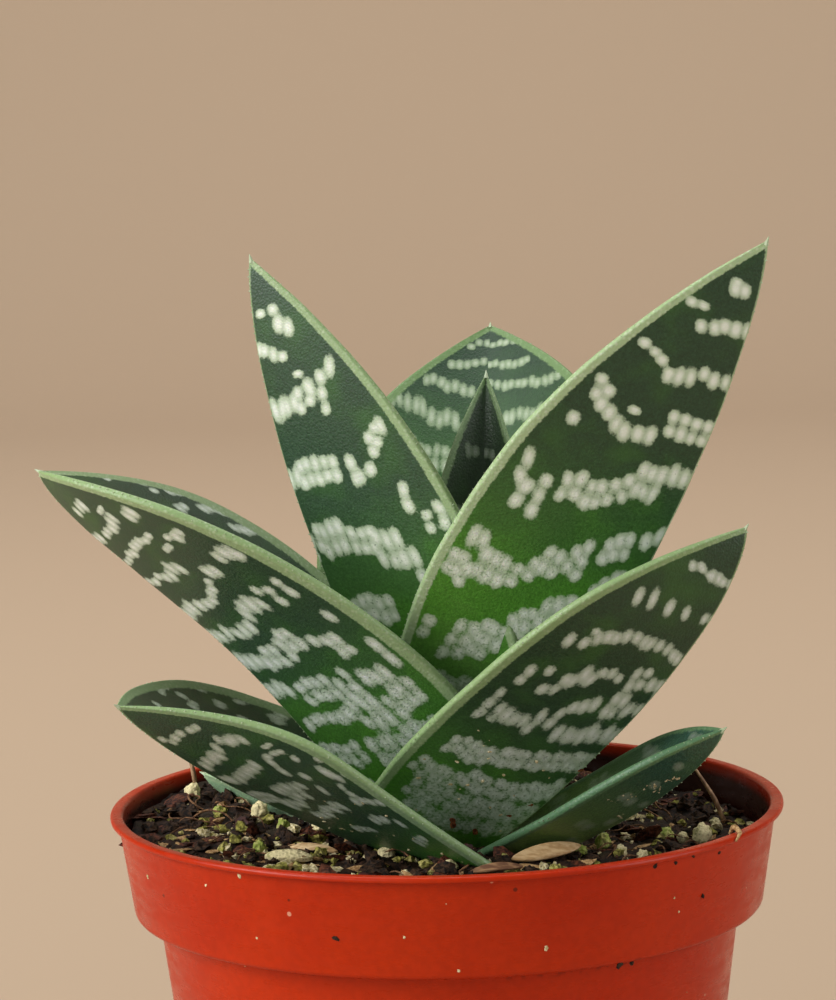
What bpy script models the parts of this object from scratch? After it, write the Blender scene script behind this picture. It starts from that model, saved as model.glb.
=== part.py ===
"""Potted tiger aloe in a 104 mm plastic nursery pot, as separate closed solids.

Blender works in metres with +Z up. The sizes below are real millimetres, and MM turns them
into metres. The origin is the centre of the pot's flat underside, -Y is towards the viewer
of the photograph and +X to the viewer's right. The leaves grow in three ranks (left, right
and back) and are listed from the oldest and lowest to the youngest.
"""
import math
import random

import bmesh
import bpy
from mathutils import Matrix, Vector, noise

MM = 0.001
GAP = 0.34            # clearance kept between pieces that touch in life
WELD = 0.02           # points closer than this are one

# Pot: thin moulded plastic with a rolled lip, a collar and a tapered body
POT_HEIGHT = 88.0
POT_WALL = 0.8
LIP_R = 52.0
LIP_DEPTH = 0.9
COLLAR_TOP_R = 50.8
COLLAR_LOW_R = 48.6
COLLAR_HEIGHT = 15.1
BODY_TOP_R = 44.9
BODY_LOW_R = 35.7
STEP_DEPTH = 16.8     # from the rim down to where the body turns out into the collar
FLOOR_THICK = 1.6
DRAIN_COUNT = 8
DRAIN_R = 3.0
DRAIN_RING_R = 25.0
POT_SIDES = 48

# Leaves, in millimetres and degrees. heading is the way the leaf points in plan, from +X,
# and rise its angle above level, each from root to tip. flank is the widest half of the
# folded blade, reached at widest along its length, taper how late it narrows from there to
# the tip, and clasp how much of it is lost at the root. fold lifts each half from flat,
# belly is the keel's depth under the midline, roll turns the blade about its length, and
# root is where the midline starts, from the centre of the rim.
LEAVES = {
    "leaf_left_oldest": dict(
        heading=(157.4, 157.4), rise=(23, 19), length=47.2, flank=6.4, taper=3.6, widest=0.5,
        fold=(33, 29), belly=3.2, roll=(0, 0), root=(1.5, 2.9, -15.8), clasp=0.2),
    "leaf_right_low": dict(
        heading=(-30.6, -32.7), rise=(24.2, 37.7), length=44.3, flank=8.2, taper=2.87,
        widest=0.44, fold=(27.8, 30.9), belly=3.1, roll=(13.0, 13.0), root=(8.6, -6.0, -7.7), clasp=0.2),
    "leaf_back_low": dict(
        heading=(92, 86), rise=(32, 23), length=60, flank=18.0, taper=2.6, widest=0.45,
        fold=(36, 30), belly=3.4, roll=(-4, -4), root=(4.2, 7.5, -11.0), clasp=0.25),
    "leaf_left_low": dict(
        heading=(195.3, 223.6), rise=(26.7, 31.9), length=62.1, flank=21.0, taper=2.14,
        widest=0.52, fold=(24.9, 25.2), belly=2.6, roll=(-13.5, -3.3), root=(-0.6, -5.1, -8.8),
        clasp=0.05),
    "leaf_right_middle": dict(
        heading=(-34.4, -24.2), rise=(37.8, 52.7), length=70.5, flank=21.0, taper=3.2,
        widest=0.39, fold=(43.3, 22.3), belly=5.3, roll=(4.7, -3.7), root=(1.2, -4.8, -4.7),
        clasp=0.2),
    "leaf_back_middle": dict(
        heading=(78, 84), rise=(47, 34), length=82, flank=22.5, taper=2.6, widest=0.38,
        fold=(43, 30), belly=4.8, roll=(3, 3), root=(4.8, 4.6, -4.6), clasp=0.3),
    "leaf_left_middle": dict(
        heading=(202.1, 168.9), rise=(65.4, 27.1), length=84.8, flank=21.5, taper=4.55,
        widest=0.33, fold=(52.6, 12.0), belly=5.8, roll=(-0.3, 5.0), root=(-3.9, -3.1, -6.7),
        clasp=0.24),
    "leaf_right_tall": dict(
        heading=(-39.3, -30.2), rise=(52.9, 64.5), length=99.1, flank=25.2, taper=2.41,
        widest=0.38, fold=(48.1, 38.3), belly=5.2, roll=(1.3, 1.3), root=(5.6, -0.5, 1.9), clasp=0.35),
    "leaf_back_tall": dict(
        heading=(84, 86), rise=(63.1, 48.4), length=85.4, flank=27.4, taper=2.43, widest=0.38,
        fold=(41.8, 16.5), belly=4.2, roll=(-8.5, -8.5), root=(5.2, 3.0, -0.1), clasp=0.5),
    "leaf_left_tall": dict(
        heading=(193.8, 193.4), rise=(62.1, 77.1), length=91.0, flank=23.0, taper=2.49,
        widest=0.33, fold=(44.2, 41.3), belly=4.6, roll=(-0.5, -0.5), root=(3.4, -0.1, -0.2), clasp=0.5),
    "leaf_right_young": dict(
        heading=(-36, -34), rise=(64, 67), length=60, flank=13.0, taper=2.2, widest=0.35,
        fold=(48, 42), belly=3.2, roll=(0, 0), root=(6.0, -0.2, 4.0), clasp=0.5),
    "leaf_back_young": dict(
        heading=(79.2, 80), rise=(74.8, 79.1), length=62.8, flank=11.9, taper=1.96, widest=0.32,
        fold=(45, 37), belly=3.0, roll=(0.3, 0.3), root=(5.3, 1.0, 3.7), clasp=0.45),
    "leaf_centre_spear": dict(
        heading=(195, 195), rise=(82, 84), length=34, flank=6.0, taper=1.9, widest=0.35,
        fold=(58, 50), belly=2.4, roll=(0, 0), root=(4.6, 0.4, 5.0), clasp=0.4),
}
MARGIN_THICK = 1.3    # the pale horny edge of each blade
MARGIN_NOSE = 0.35    # how far that edge stands out past the flank, in its own thicknesses
CHANNEL_FILL = 1.9    # flesh above the midline, in the bottom of the channel
CHANNEL_CURVE = 1.3   # power of the upper face's rise from the channel to the edge
FILL_CURVE = 0.8      # power of the flesh's fall from the channel to the edge
FLANK_BULGE = 0.2     # how far the lower face swells below a straight line
KEEL_FADE = 0.7       # power that thins the keel as the blade narrows
EDGE_FADE = 0.5       # and the one that thins its edge
SLOPING_GAP = 1.2     # upright clearance on a sloping face, in its own clearances
BLADE_STATIONS = 12
BLADE_STEPS = 240     # steps along the midline, of which the stations are some
FLANK_POINTS = 4

# Stem and thick roots, hidden in the mix: heights are from the rim
STEM_AXIS = (4.6, 0.6)
STEM_PROFILE = [(0, 4.0), (2.4, 3.2), (4.6, 0.5), (5.4, -5), (5.0, -14), (4.4, -26), (3.4, -38),
                (1.8, -43), (0, -44)]
STEM_SIDES = 12
ROOTS = [
    [(4, 0, -36), (-9, 4, -45), (-20, 6, -58), (-25, 4, -70)],
    [(5, 1, -34), (16, 8, -44), (25, 11, -56), (27, 15, -68)],
    [(4, 0, -38), (2, -13, -47), (5, -23, -58), (9, -27, -70)],
    [(4, 2, -38), (0, 14, -49), (-3, 24, -60), (-6, 27, -72)],
]
ROOT_RADII = [2.3, 1.8, 1.3, 0.8]

# Potting mix: its top slopes up towards the left and the back
SOIL_DEPTH = 5.3      # below the rim, at the pot's axis
SOIL_SLOPE = (-0.025, 0.03)
SOIL_MOUND = (-38, 22, 1.6, 14)     # x, y, height and spread
SOIL_RINGS = [7, 14, 20, 26, 32, 38, 43]
SOIL_TOP_R = 48.6
SOIL_SIDES = 36
SOIL_ROUGH = 0.55     # height of its unevenness
SOIL_ROUGH_SCALE = 0.16

# Grains are spheres pushed in and out by a fixed noise
GRAIN_NOISE_SCALE = 1.7
GRAIN_SHOWS = 0.35    # how far its middle is over the mix, in half heights
GRAIN_TURN = 47       # degrees from one grain to the next
FINE_GRAIN_R = 1.45   # grains larger than this have more faces
PERLITE_ROUGH = 0.16
BARK_ROUGH = 0.3

# Pieces lying on the mix, by their place in plan from the pot's axis: x, y, radius
PERLITE = [
    (-40.6, 16.8, 1.4), (-36.0, 7.5, 1.0), (-29.5, 8.2, 1.5), (-25.6, 2.2, 1.2),
    (-19.9, -0.5, 1.4), (-28.6, -11.8, 1.1), (-9.2, -13.2, 1.4), (0.4, -21.5, 1.3),
    (20.2, -12.0, 1.1), (23.8, -8.6, 1.3), (26.1, -13.2, 1.1), (29.4, -14.4, 1.0),
    (33.7, -2.8, 1.2), (36.2, -4.4, 1.0), (39.2, -5.2, 1.8), (42.0, 4.5, 1.1),
]
# x, y, three half sizes and a turn in degrees
BARK_CRUMBS = [
    (-31.6, 1.2, 1.9, 1.3, 1.4, 20), (-5.6, -13.4, 1.4, 1.2, 2.1, 60),
    (2.7, -17.2, 1.1, 0.9, 2.2, 10), (-12.0, -30.0, 2.2, 1.5, 1.1, 75),
    (31.0, 16.0, 2.3, 1.6, 1.3, 30), (-14.0, 34.0, 2.5, 1.7, 1.2, 120),
]
# from x, y and height over the mix, to the same, then half width, half thickness and lean
SPLINTERS = {
    "wood_chip_front": ((9.4, -19.2, 0.8), (20.0, -14.4, 1.7), 1.25, 0.45, 50),
    "bark_curl_front": ((3.0, -25.2, 0.6), (11.0, -23.8, 0.9), 0.7, 0.4, 40),
    "wood_chip_left": ((-27.4, -18.0, 0.8), (-20.2, -18.6, 0.8), 1.15, 0.6, 25),
    "wood_splinter_left": ((-24.2, -11.4, 0.8), (-16.6, -14.4, 0.8), 0.75, 0.4, 30),
}
# points with heights from the rim, and radii
TWIGS = {
    "twig_right": ([(44.2, 6.4, -7.4), (42.6, 6.2, -3.6), (41.0, 6.1, -0.4), (39.2, 6.0, 2.6)],
                   [0.45, 0.4, 0.36, 0.3]),
    "dry_stalk_left": ([(-40.6, 23.6, -3.4), (-40.9, 23.8, -0.2), (-41.4, 24.0, 2.4)],
                       [0.5, 0.42, 0.36]),
}

COLOURS = {
    "plastic": ("B83A14", 0.35),
    "leaf": ("2F5230", 0.45),
    "soil": ("2A1D14", 0.95),
    "perlite": ("D9CFA6", 0.9),
    "bark": ("3A241A", 0.8),
    "wood": ("B98A55", 0.8),
    "root": ("8A6B48", 0.9),
}


def empty_the_scene():
    for ob in list(bpy.data.objects):
        bpy.data.objects.remove(ob, do_unlink=True)


def make_collection(name):
    collection = bpy.data.collections.new(name)
    bpy.context.scene.collection.children.link(collection)
    return collection


def material(kind):
    """The Principled material of one kind of stuff, made on first use."""
    if kind in bpy.data.materials:
        return bpy.data.materials[kind]
    code, roughness = COLOURS[kind]
    mat = bpy.data.materials.new(kind)
    mat.use_nodes = True
    shader = mat.node_tree.nodes["Principled BSDF"]
    channels = [int(code[i:i + 2], 16) / 255 for i in (0, 2, 4)]
    linear = [((c + 0.055) / 1.055) ** 2.4 for c in channels]
    shader.inputs["Base Color"].default_value = (*linear, 1)
    shader.inputs["Roughness"].default_value = roughness
    return mat


def add_object(name, data, collection, kind=None):
    ob = bpy.data.objects.new(name, data)
    collection.objects.link(ob)
    if kind:
        data.materials.append(material(kind))
    return ob


def baked(ob, weld=WELD):
    """Turn an object's evaluated shape, with its modifiers and transform, into its mesh."""
    bpy.context.view_layer.update()
    graph = bpy.context.evaluated_depsgraph_get()
    mesh = bpy.data.meshes.new_from_object(ob.evaluated_get(graph))
    mesh.transform(ob.matrix_world)
    if weld:
        bm = bmesh.new()
        bm.from_mesh(mesh)
        bmesh.ops.remove_doubles(bm, verts=bm.verts, dist=weld * MM)
        bmesh.ops.recalc_face_normals(bm, faces=bm.faces)
        bm.to_mesh(mesh)
        bm.free()
    name, collection = ob.name, ob.users_collection[0]
    bpy.data.objects.remove(ob, do_unlink=True)
    new = bpy.data.objects.new(name, mesh)
    collection.objects.link(new)
    return new


def turned(name, profile, sides, collection, kind=None):
    """A solid of revolution from (radius, height) points that run down its outer side."""
    mesh = bpy.data.meshes.new(name)
    edges = [(i, i + 1) for i in range(len(profile) - 1)]
    mesh.from_pydata([(r * MM, 0, z * MM) for r, z in profile], edges, [])
    ob = add_object(name, mesh, collection, kind)
    screw = ob.modifiers.new("turn", "SCREW")
    screw.steps = sides
    screw.render_steps = sides
    screw.use_merge_vertices = True
    screw.merge_threshold = WELD * MM
    return baked(ob)


def tube(name, points, radii, collection, kind=None):
    """A tapering round body along a path: a bevelled curve with filled caps."""
    curve = bpy.data.curves.new(name, "CURVE")
    curve.dimensions = "3D"
    curve.bevel_depth = MM
    curve.bevel_resolution = 1
    curve.use_fill_caps = True
    spline = curve.splines.new("POLY")
    spline.points.add(len(points) - 1)
    for point, place, radius in zip(spline.points, points, radii):
        point.co = (*[c * MM for c in place], 1)
        point.radius = radius
    return baked(add_object(name, curve, collection, kind))


def swollen(ob, grow, collection):
    """A copy of a body pushed outwards, to cut the room that it needs in another."""
    mesh = ob.data.copy()
    bm = bmesh.new()
    bm.from_mesh(mesh)
    bm.normal_update()
    moves = [v.normal * grow * MM for v in bm.verts]
    for v, move in zip(bm.verts, moves):
        v.co += move
    bm.to_mesh(mesh)
    bm.free()
    return add_object("cutter", mesh, collection)


def boolean(ob, cutter, operation):
    """Cut with, or join, a closed body that is then removed.

    MANIFOLD, because EXACT loses whole leaves in this nest of thin, near-parallel blades.
    """
    cutter.hide_render = True
    cutter.display_type = "WIRE"
    mod = ob.modifiers.new("boolean", "BOOLEAN")
    mod.object = cutter
    mod.operation = operation
    mod.solver = "MANIFOLD"
    ob = baked(ob, weld=0)
    bpy.data.objects.remove(cutter, do_unlink=True)
    return ob


def keep_largest(ob):
    """Drop the crumbs that a cut leaves loose."""
    bm = bmesh.new()
    bm.from_mesh(ob.data)
    bmesh.ops.remove_doubles(bm, verts=bm.verts, dist=WELD * MM)
    bmesh.ops.triangulate(bm, faces=bm.faces)
    bmesh.ops.dissolve_degenerate(bm, dist=WELD / 2 * MM, edges=bm.edges)
    left = set(bm.faces)
    groups = []
    while left:
        stack = [left.pop()]
        group = list(stack)
        while stack:
            for edge in stack.pop().edges:
                for other in edge.link_faces:
                    if other in left:
                        left.discard(other)
                        group.append(other)
                        stack.append(other)
        groups.append(group)
    groups.sort(key=lambda faces: sum(f.calc_area() for f in faces))
    crumbs = [f for group in groups[:-1] for f in group]
    bmesh.ops.delete(bm, geom=crumbs, context="FACES")
    bmesh.ops.recalc_face_normals(bm, faces=bm.faces)
    bm.to_mesh(ob.data)
    bm.free()


def boxes_meet(a, b):
    """Whether the bounding boxes of two baked bodies touch, with the clearance between."""
    for k in range(3):
        along_a = [v.co[k] for v in a.data.vertices]
        along_b = [v.co[k] for v in b.data.vertices]
        if min(along_a) > max(along_b) + GAP * MM or min(along_b) > max(along_a) + GAP * MM:
            return False
    return True


def make_pot(parts, cutters):
    """One turned wall from the inside of the floor, over the lip, to the underside."""
    low, rim, step = COLLAR_LOW_R, POT_HEIGHT, POT_HEIGHT - STEP_DEPTH
    inside = [
        (0, FLOOR_THICK), (BODY_LOW_R - POT_WALL - 1.2, FLOOR_THICK),
        (BODY_LOW_R - POT_WALL, FLOOR_THICK + 1.2), (BODY_TOP_R - POT_WALL, step + 1.0),
        (BODY_TOP_R - 0.5, step + 2.1), (low - POT_WALL - 0.7, step + 2.6),
        (low - POT_WALL, step + 3.2), (COLLAR_TOP_R - POT_WALL, rim - 0.9),
        (COLLAR_TOP_R - 0.4, rim),
    ]
    lip = [
        (LIP_R - 0.4, rim), (LIP_R, rim - 0.35), (LIP_R - 0.05, rim - LIP_DEPTH + 0.2),
        (LIP_R - 0.3, rim - LIP_DEPTH), (COLLAR_TOP_R + 0.3, rim - LIP_DEPTH),
        (COLLAR_TOP_R, rim - LIP_DEPTH - 0.3),
    ]
    outside = [
        (low, rim - COLLAR_HEIGHT + 0.9), (low - 0.2, step + 1.8), (low - 1.1, step + 1.25),
        (BODY_TOP_R + 1.0, step + 1.0), (BODY_TOP_R, step), (BODY_LOW_R, 1.6),
        (BODY_LOW_R - 0.3, 0.5), (BODY_LOW_R - 1.4, 0), (0, 0),
    ]
    pot = turned("pot", inside + lip + outside, POT_SIDES, parts, "plastic")
    for k in range(DRAIN_COUNT):
        angle = 2 * math.pi * (k + 0.5) / DRAIN_COUNT
        x, y = DRAIN_RING_R * math.cos(angle), DRAIN_RING_R * math.sin(angle)
        bm = bmesh.new()
        bmesh.ops.create_cone(bm, cap_ends=True, segments=12, radius1=DRAIN_R * MM,
                              radius2=DRAIN_R * MM, depth=4 * FLOOR_THICK * MM,
                              matrix=Matrix.Translation((x * MM, y * MM, FLOOR_THICK / 2 * MM)))
        mesh = bpy.data.meshes.new("drill")
        bm.to_mesh(mesh)
        bm.free()
        pot = boolean(pot, add_object("drill", mesh, cutters), "DIFFERENCE")
    return pot


def make_stem(parts, cutters):
    """The short stem turned from a profile, joined with its thick roots."""
    profile = [(r, z + POT_HEIGHT) for r, z in STEM_PROFILE]
    stem = turned("stem_and_roots", profile, STEM_SIDES, parts, "root")
    stem.location = (STEM_AXIS[0] * MM, STEM_AXIS[1] * MM, 0)
    stem = baked(stem)
    for line in ROOTS:
        points = [(x, y, z + POT_HEIGHT) for x, y, z in line]
        stem = boolean(stem, tube("root", points, ROOT_RADII, cutters), "UNION")
    keep_largest(stem)
    return stem


def blade_width(d, s):
    """Flank width of a leaf at s, from 0 at the root to 1 at the tip."""
    if s > d["widest"]:
        return d["flank"] * (1 - ((s - d["widest"]) / (1 - d["widest"])) ** d["taper"])
    return d["flank"] * (1 - d["clasp"] * ((d["widest"] - s) / d["widest"]) ** 2)


def blade_section(width, fold, belly, fill, edge, grow):
    """Closed outline of one section: keel, right flank, pale edge, channel, and back.

    grow pushes the whole outline outwards, for a cutter.
    """
    ca, sa = math.cos(fold), math.sin(fold)
    low = belly + SLOPING_GAP * grow
    high = fill + SLOPING_GAP * grow
    under, upper = [], []
    for i in range(FLANK_POINTS):
        t = i / (FLANK_POINTS - 1)
        half = edge / 2 * t ** 3 + grow * t
        bulged = t + FLANK_BULGE * (t * t - t)
        rise = width * sa * t ** CHANNEL_CURVE + high * (1 - t) ** FILL_CURVE
        under.append((width * ca * t + sa * half, -low + (width * sa + low) * bulged - ca * half))
        upper.append((width * ca * t - sa * half, rise + ca * half))
    reach = width + edge * MARGIN_NOSE + grow
    right = under + [(reach * ca, reach * sa)] + upper[:0:-1]
    left = [(-x, y) for x, y in reversed(right[1:])]
    return right + [upper[0]] + left


def leaf(name, d, collection, kind=None, grow=0.0):
    """Loft of a leaf: a folded section carried along a gently turning midline.

    The sections differ from root to tip in width, fold and depth, so this loft is one of the
    few shapes whose faces are made by hand.
    """
    stations = {round(BLADE_STEPS * math.sin(math.pi / 2 * k / BLADE_STATIONS))
                for k in range(BLADE_STATIONS)}
    here = Vector(d["root"]) + Vector((0, 0, POT_HEIGHT))
    points, rings = [], 0
    for i in range(BLADE_STEPS + 1):
        s = i / BLADE_STEPS
        h = math.radians(d["heading"][0] + (d["heading"][1] - d["heading"][0]) * s)
        r = math.radians(d["rise"][0] + (d["rise"][1] - d["rise"][0]) * s)
        along = Vector((math.cos(r) * math.cos(h), math.cos(r) * math.sin(h), math.sin(r)))
        if i in stations:
            roll = d["roll"][0] + (d["roll"][1] - d["roll"][0]) * s
            turn = Matrix.Rotation(math.radians(roll), 3, along)
            side = turn @ Vector((-math.sin(h), math.cos(h), 0))
            up = along.cross(side)
            width = blade_width(d, s)
            part = width / d["flank"]
            fold = math.radians(d["fold"][0] + (d["fold"][1] - d["fold"][0]) * s)
            outline = blade_section(width, fold, d["belly"] * part ** KEEL_FADE,
                                    CHANNEL_FILL * part, MARGIN_THICK * part ** EDGE_FADE, grow)
            start = here - along * grow if i == 0 else here
            points += [start - side * x + up * y for x, y in outline]
            rings += 1
        if i < BLADE_STEPS:
            here = here + along * (d["length"] / BLADE_STEPS)
    n = len(points) // rings
    points.append(here + along * grow * SLOPING_GAP)
    faces = [tuple(range(n))]
    for i in range(rings - 1):
        for j in range(n):
            a, b = i * n + j, i * n + (j + 1) % n
            faces.append((a, b, b + n, a + n))
    last = (rings - 1) * n
    faces += [(last + j, last + (j + 1) % n, len(points) - 1) for j in range(n)]
    mesh = bpy.data.meshes.new(name)
    mesh.from_pydata([p * MM for p in points], [], faces)
    return baked(add_object(name, mesh, collection, kind), weld=WELD / 20)


def cut_by_leaf(ob, name, cutters):
    """Give a leaf the room that it needs in another piece."""
    cutter = leaf("cutter", LEAVES[name], cutters, grow=GAP)
    if boxes_meet(ob, cutter):
        return boolean(ob, cutter, "DIFFERENCE")
    bpy.data.objects.remove(cutter, do_unlink=True)
    return ob


def make_rosette(stem, parts, cutters):
    """Leaves from the oldest in; each gives way to the stem and the older ones round it."""
    names = list(LEAVES)
    for i, name in enumerate(names):
        blade = leaf(name, LEAVES[name], parts, "leaf")
        blade = boolean(blade, swollen(stem, GAP, cutters), "DIFFERENCE")
        for older in names[:i]:
            blade = cut_by_leaf(blade, older, cutters)
        keep_largest(blade)


def soil_height(x, y):
    """Height of the mix over the pot's underside at a place in plan, in millimetres."""
    mound_x, mound_y, mound, spread = SOIL_MOUND
    z = POT_HEIGHT - SOIL_DEPTH + SOIL_SLOPE[0] * x + SOIL_SLOPE[1] * y
    z += mound * math.exp(-((x - mound_x) ** 2 + (y - mound_y) ** 2) / (2 * spread ** 2))
    place = Vector((x * SOIL_ROUGH_SCALE, y * SOIL_ROUGH_SCALE, 3.1))
    return z + SOIL_ROUGH * noise.noise(place)


def make_soil(parts):
    """The mix, turned to the inside of the pot, with its top then shaped to its slope."""
    g = POT_WALL + GAP
    step = POT_HEIGHT - STEP_DEPTH
    flat = POT_HEIGHT - SOIL_DEPTH
    top = [(0, flat)] + [(r, flat) for r in SOIL_RINGS] + [(SOIL_TOP_R, flat)]
    side = [
        (COLLAR_LOW_R - g + 0.25, step + 6.5), (COLLAR_LOW_R - g, step + 3.6),
        (BODY_TOP_R - g - 0.2, step + 2.6), (BODY_TOP_R - g, step + 1.0),
        (BODY_LOW_R - g, FLOOR_THICK + 2.0), (BODY_LOW_R - g - 1.4, FLOOR_THICK + GAP),
        (0, FLOOR_THICK + GAP),
    ]
    soil = turned("soil", top + side, SOIL_SIDES, parts, "soil")
    for v in soil.data.vertices:
        if abs(v.co.z - flat * MM) < WELD * MM:
            v.co.z = soil_height(v.co.x / MM, v.co.y / MM) * MM
    return soil


def make_grain(name, place, half, turn, seed, rough, kind, parts):
    """An irregular grain: an icosphere pushed in and out by a fixed noise, half sunk."""
    bm = bmesh.new()
    fine = max(half) > FINE_GRAIN_R
    bmesh.ops.create_icosphere(bm, subdivisions=2 if fine else 1, radius=1)
    own = Vector((seed * 3.7, seed * 1.3, 0))
    for v in bm.verts:
        v.co *= 1 + rough * noise.noise(v.co * GRAIN_NOISE_SCALE + own)
    mesh = bpy.data.meshes.new(name)
    bm.to_mesh(mesh)
    bm.free()
    ob = add_object(name, mesh, parts, kind)
    x, y = place
    ob.location = (x * MM, y * MM, (soil_height(x, y) + GRAIN_SHOWS * half[2]) * MM)
    ob.rotation_euler = (0, 0, math.radians(turn))
    ob.scale = [h * MM for h in half]
    return baked(ob)


def make_splinter(name, start, end, half_width, half_thick, lean, parts):
    """A wood splinter: a box cut into lengths, narrowed to its ends and leaning on a side."""
    end_width, end_angle, bow = 0.45, 1.25, 0.9
    a = Vector((start[0], start[1], soil_height(*start[:2]) + start[2]))
    b = Vector((end[0], end[1], soil_height(*end[:2]) + end[2]))
    bm = bmesh.new()
    bmesh.ops.create_cube(bm, size=2)
    long_edges = [e for e in bm.edges if abs(e.verts[0].co.x - e.verts[1].co.x) > 1]
    bmesh.ops.subdivide_edges(bm, edges=long_edges, cuts=3)
    for v in bm.verts:
        x, y, z = v.co
        narrow = end_width + (1 - end_width) * math.cos(x * end_angle)
        lift = bow * (1 - x * x)
        v.co = ((b - a).length / 2 * x, half_width * narrow * y, half_thick * (z + lift))
    mesh = bpy.data.meshes.new(name)
    bm.to_mesh(mesh)
    bm.free()
    ob = add_object(name, mesh, parts, "wood" if "wood" in name else "bark")
    aim = (b - a).to_track_quat("X", "Z").to_matrix().to_4x4()
    tip = Matrix.Rotation(math.radians(lean), 4, "X")
    ob.matrix_world = Matrix.Scale(MM, 4) @ Matrix.Translation((a + b) / 2) @ aim @ tip
    return baked(ob)


def make_litter(parts):
    """Everything that lies on the mix, each piece its own solid."""
    pieces = []
    random.seed(11)
    for i, (x, y, r) in enumerate(PERLITE):
        half = [r * random.uniform(0.85, 1.15) for _ in range(3)]
        name, turn = f"perlite_{i + 1:02d}", GRAIN_TURN * i
        pieces.append(make_grain(name, (x, y), half, turn, i, PERLITE_ROUGH, "perlite", parts))
    for i, (x, y, a, b, c, turn) in enumerate(BARK_CRUMBS):
        name, seed = f"bark_crumb_{i + 1:02d}", len(PERLITE) + i
        pieces.append(make_grain(name, (x, y), (a, b, c), turn, seed, BARK_ROUGH, "bark", parts))
    for name, (start, end, half_width, half_thick, lean) in SPLINTERS.items():
        pieces.append(make_splinter(name, start, end, half_width, half_thick, lean, parts))
    for name, (line, radii) in TWIGS.items():
        points = [(x, y, z + POT_HEIGHT) for x, y, z in line]
        pieces.append(tube(name, points, radii, parts, "wood"))
    return pieces


def main():
    empty_the_scene()
    parts = make_collection("potted_tiger_aloe")
    cutters = make_collection("cutters")
    make_pot(parts, cutters)
    stem = make_stem(parts, cutters)
    make_rosette(stem, parts, cutters)
    litter = make_litter(parts)
    soil = make_soil(parts)
    for name in LEAVES:
        litter = [cut_by_leaf(piece, name, cutters) for piece in litter]
        soil = cut_by_leaf(soil, name, cutters)
    for piece in [stem] + litter:
        keep_largest(piece)
        if boxes_meet(soil, piece):
            soil = boolean(soil, swollen(piece, GAP, cutters), "DIFFERENCE")
    keep_largest(soil)


main()
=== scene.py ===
# %% [markdown]
# Potted tiger aloe
#
# A tiger aloe in a thin plastic nursery pot: folded, keeled leaves in three ranks, with pale toothed
# edges and cross bands of pale spots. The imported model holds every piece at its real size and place.
# This file makes the surfaces: fine leaves with their markings and teeth, the crumbly potting mix,
# and the moulded pot with its scuffs.

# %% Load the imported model
import math
from functools import partial

import bpy
import numpy as np
from mathutils import Matrix, Vector, noise


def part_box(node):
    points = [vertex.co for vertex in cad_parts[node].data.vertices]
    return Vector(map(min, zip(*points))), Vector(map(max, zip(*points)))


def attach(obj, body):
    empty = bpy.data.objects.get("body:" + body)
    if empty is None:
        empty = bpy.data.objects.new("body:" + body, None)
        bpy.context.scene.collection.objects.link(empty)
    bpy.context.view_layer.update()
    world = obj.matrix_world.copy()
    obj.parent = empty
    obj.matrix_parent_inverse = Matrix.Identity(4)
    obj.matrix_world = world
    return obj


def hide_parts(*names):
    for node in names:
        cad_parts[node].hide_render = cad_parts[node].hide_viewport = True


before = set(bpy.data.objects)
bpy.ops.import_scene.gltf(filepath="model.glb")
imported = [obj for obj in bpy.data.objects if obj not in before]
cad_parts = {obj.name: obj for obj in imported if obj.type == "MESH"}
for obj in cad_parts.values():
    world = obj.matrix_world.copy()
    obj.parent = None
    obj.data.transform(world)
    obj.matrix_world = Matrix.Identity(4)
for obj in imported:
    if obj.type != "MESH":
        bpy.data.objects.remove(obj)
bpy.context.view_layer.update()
MM = 0.001
print("nodes:", len(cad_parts))

# %% [markdown]
# Small helpers
#
# Colours are written as sRGB hex, the way a picture shows them, and one function turns them into the
# linear values that a shader takes. plug_in gives a node its inputs: numbers, colours, sockets, or
# other nodes, which are linked by their first output. add_node adds a shader node with its settings
# and inputs, and new_material hands it back tied to the new material. Two settings come up again and
# again: a smooth step from one value to another, and a mix of colours.

# %% Helpers for colours and nodes
SMOOTH = dict(interpolation_type="SMOOTHSTEP")
COLOURS = dict(data_type="RGBA")


def colour(code):
    channels = [int(code[i:i + 2], 16) / 255 for i in (0, 2, 4)]
    linear = [c / 12.92 if c <= 0.04045 else ((c + 0.055) / 1.055) ** 2.4 for c in channels]
    return (*linear, 1.0)


def plug_in(node, inputs):
    """Set or link a node's inputs, given by name in a dictionary or in their own order in a list."""
    pairs = inputs.items() if isinstance(inputs, dict) else enumerate(inputs)
    in_use = [socket for socket in node.inputs if socket.enabled]
    for which, value in pairs:
        socket = in_use[which] if isinstance(which, int) else node.inputs[which]
        if isinstance(value, bpy.types.Node):
            value = next(out for out in value.outputs if out.enabled)
        if isinstance(value, bpy.types.NodeSocket):
            node.id_data.links.new(value, socket)
        else:
            socket.default_value = value


def add_node(tree, kind, inputs=(), **settings):
    new = tree.nodes.new("ShaderNode" + kind)
    for name, value in settings.items():
        setattr(new, name, value)
    plug_in(new, inputs)
    return new


def new_material(name):
    """A material, a function that adds nodes to it, and its shader."""
    mat = bpy.data.materials.new(name)
    mat.use_nodes = True
    tree = mat.node_tree
    return mat, partial(add_node, tree), tree.nodes["Principled BSDF"]


# %% [markdown]
# A piece is made at the origin, and its mesh holds its place. Before every operator all objects are
# deselected, because an operator acts on whatever is selected.

# %% Helpers for pieces
def select_only(ob):
    bpy.ops.object.select_all(action="DESELECT")
    ob.select_set(True)
    bpy.context.view_layer.objects.active = ob


def edit_all(ob):
    select_only(ob)
    bpy.ops.object.mode_set(mode="EDIT")
    bpy.ops.mesh.select_all(action="SELECT")


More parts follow.
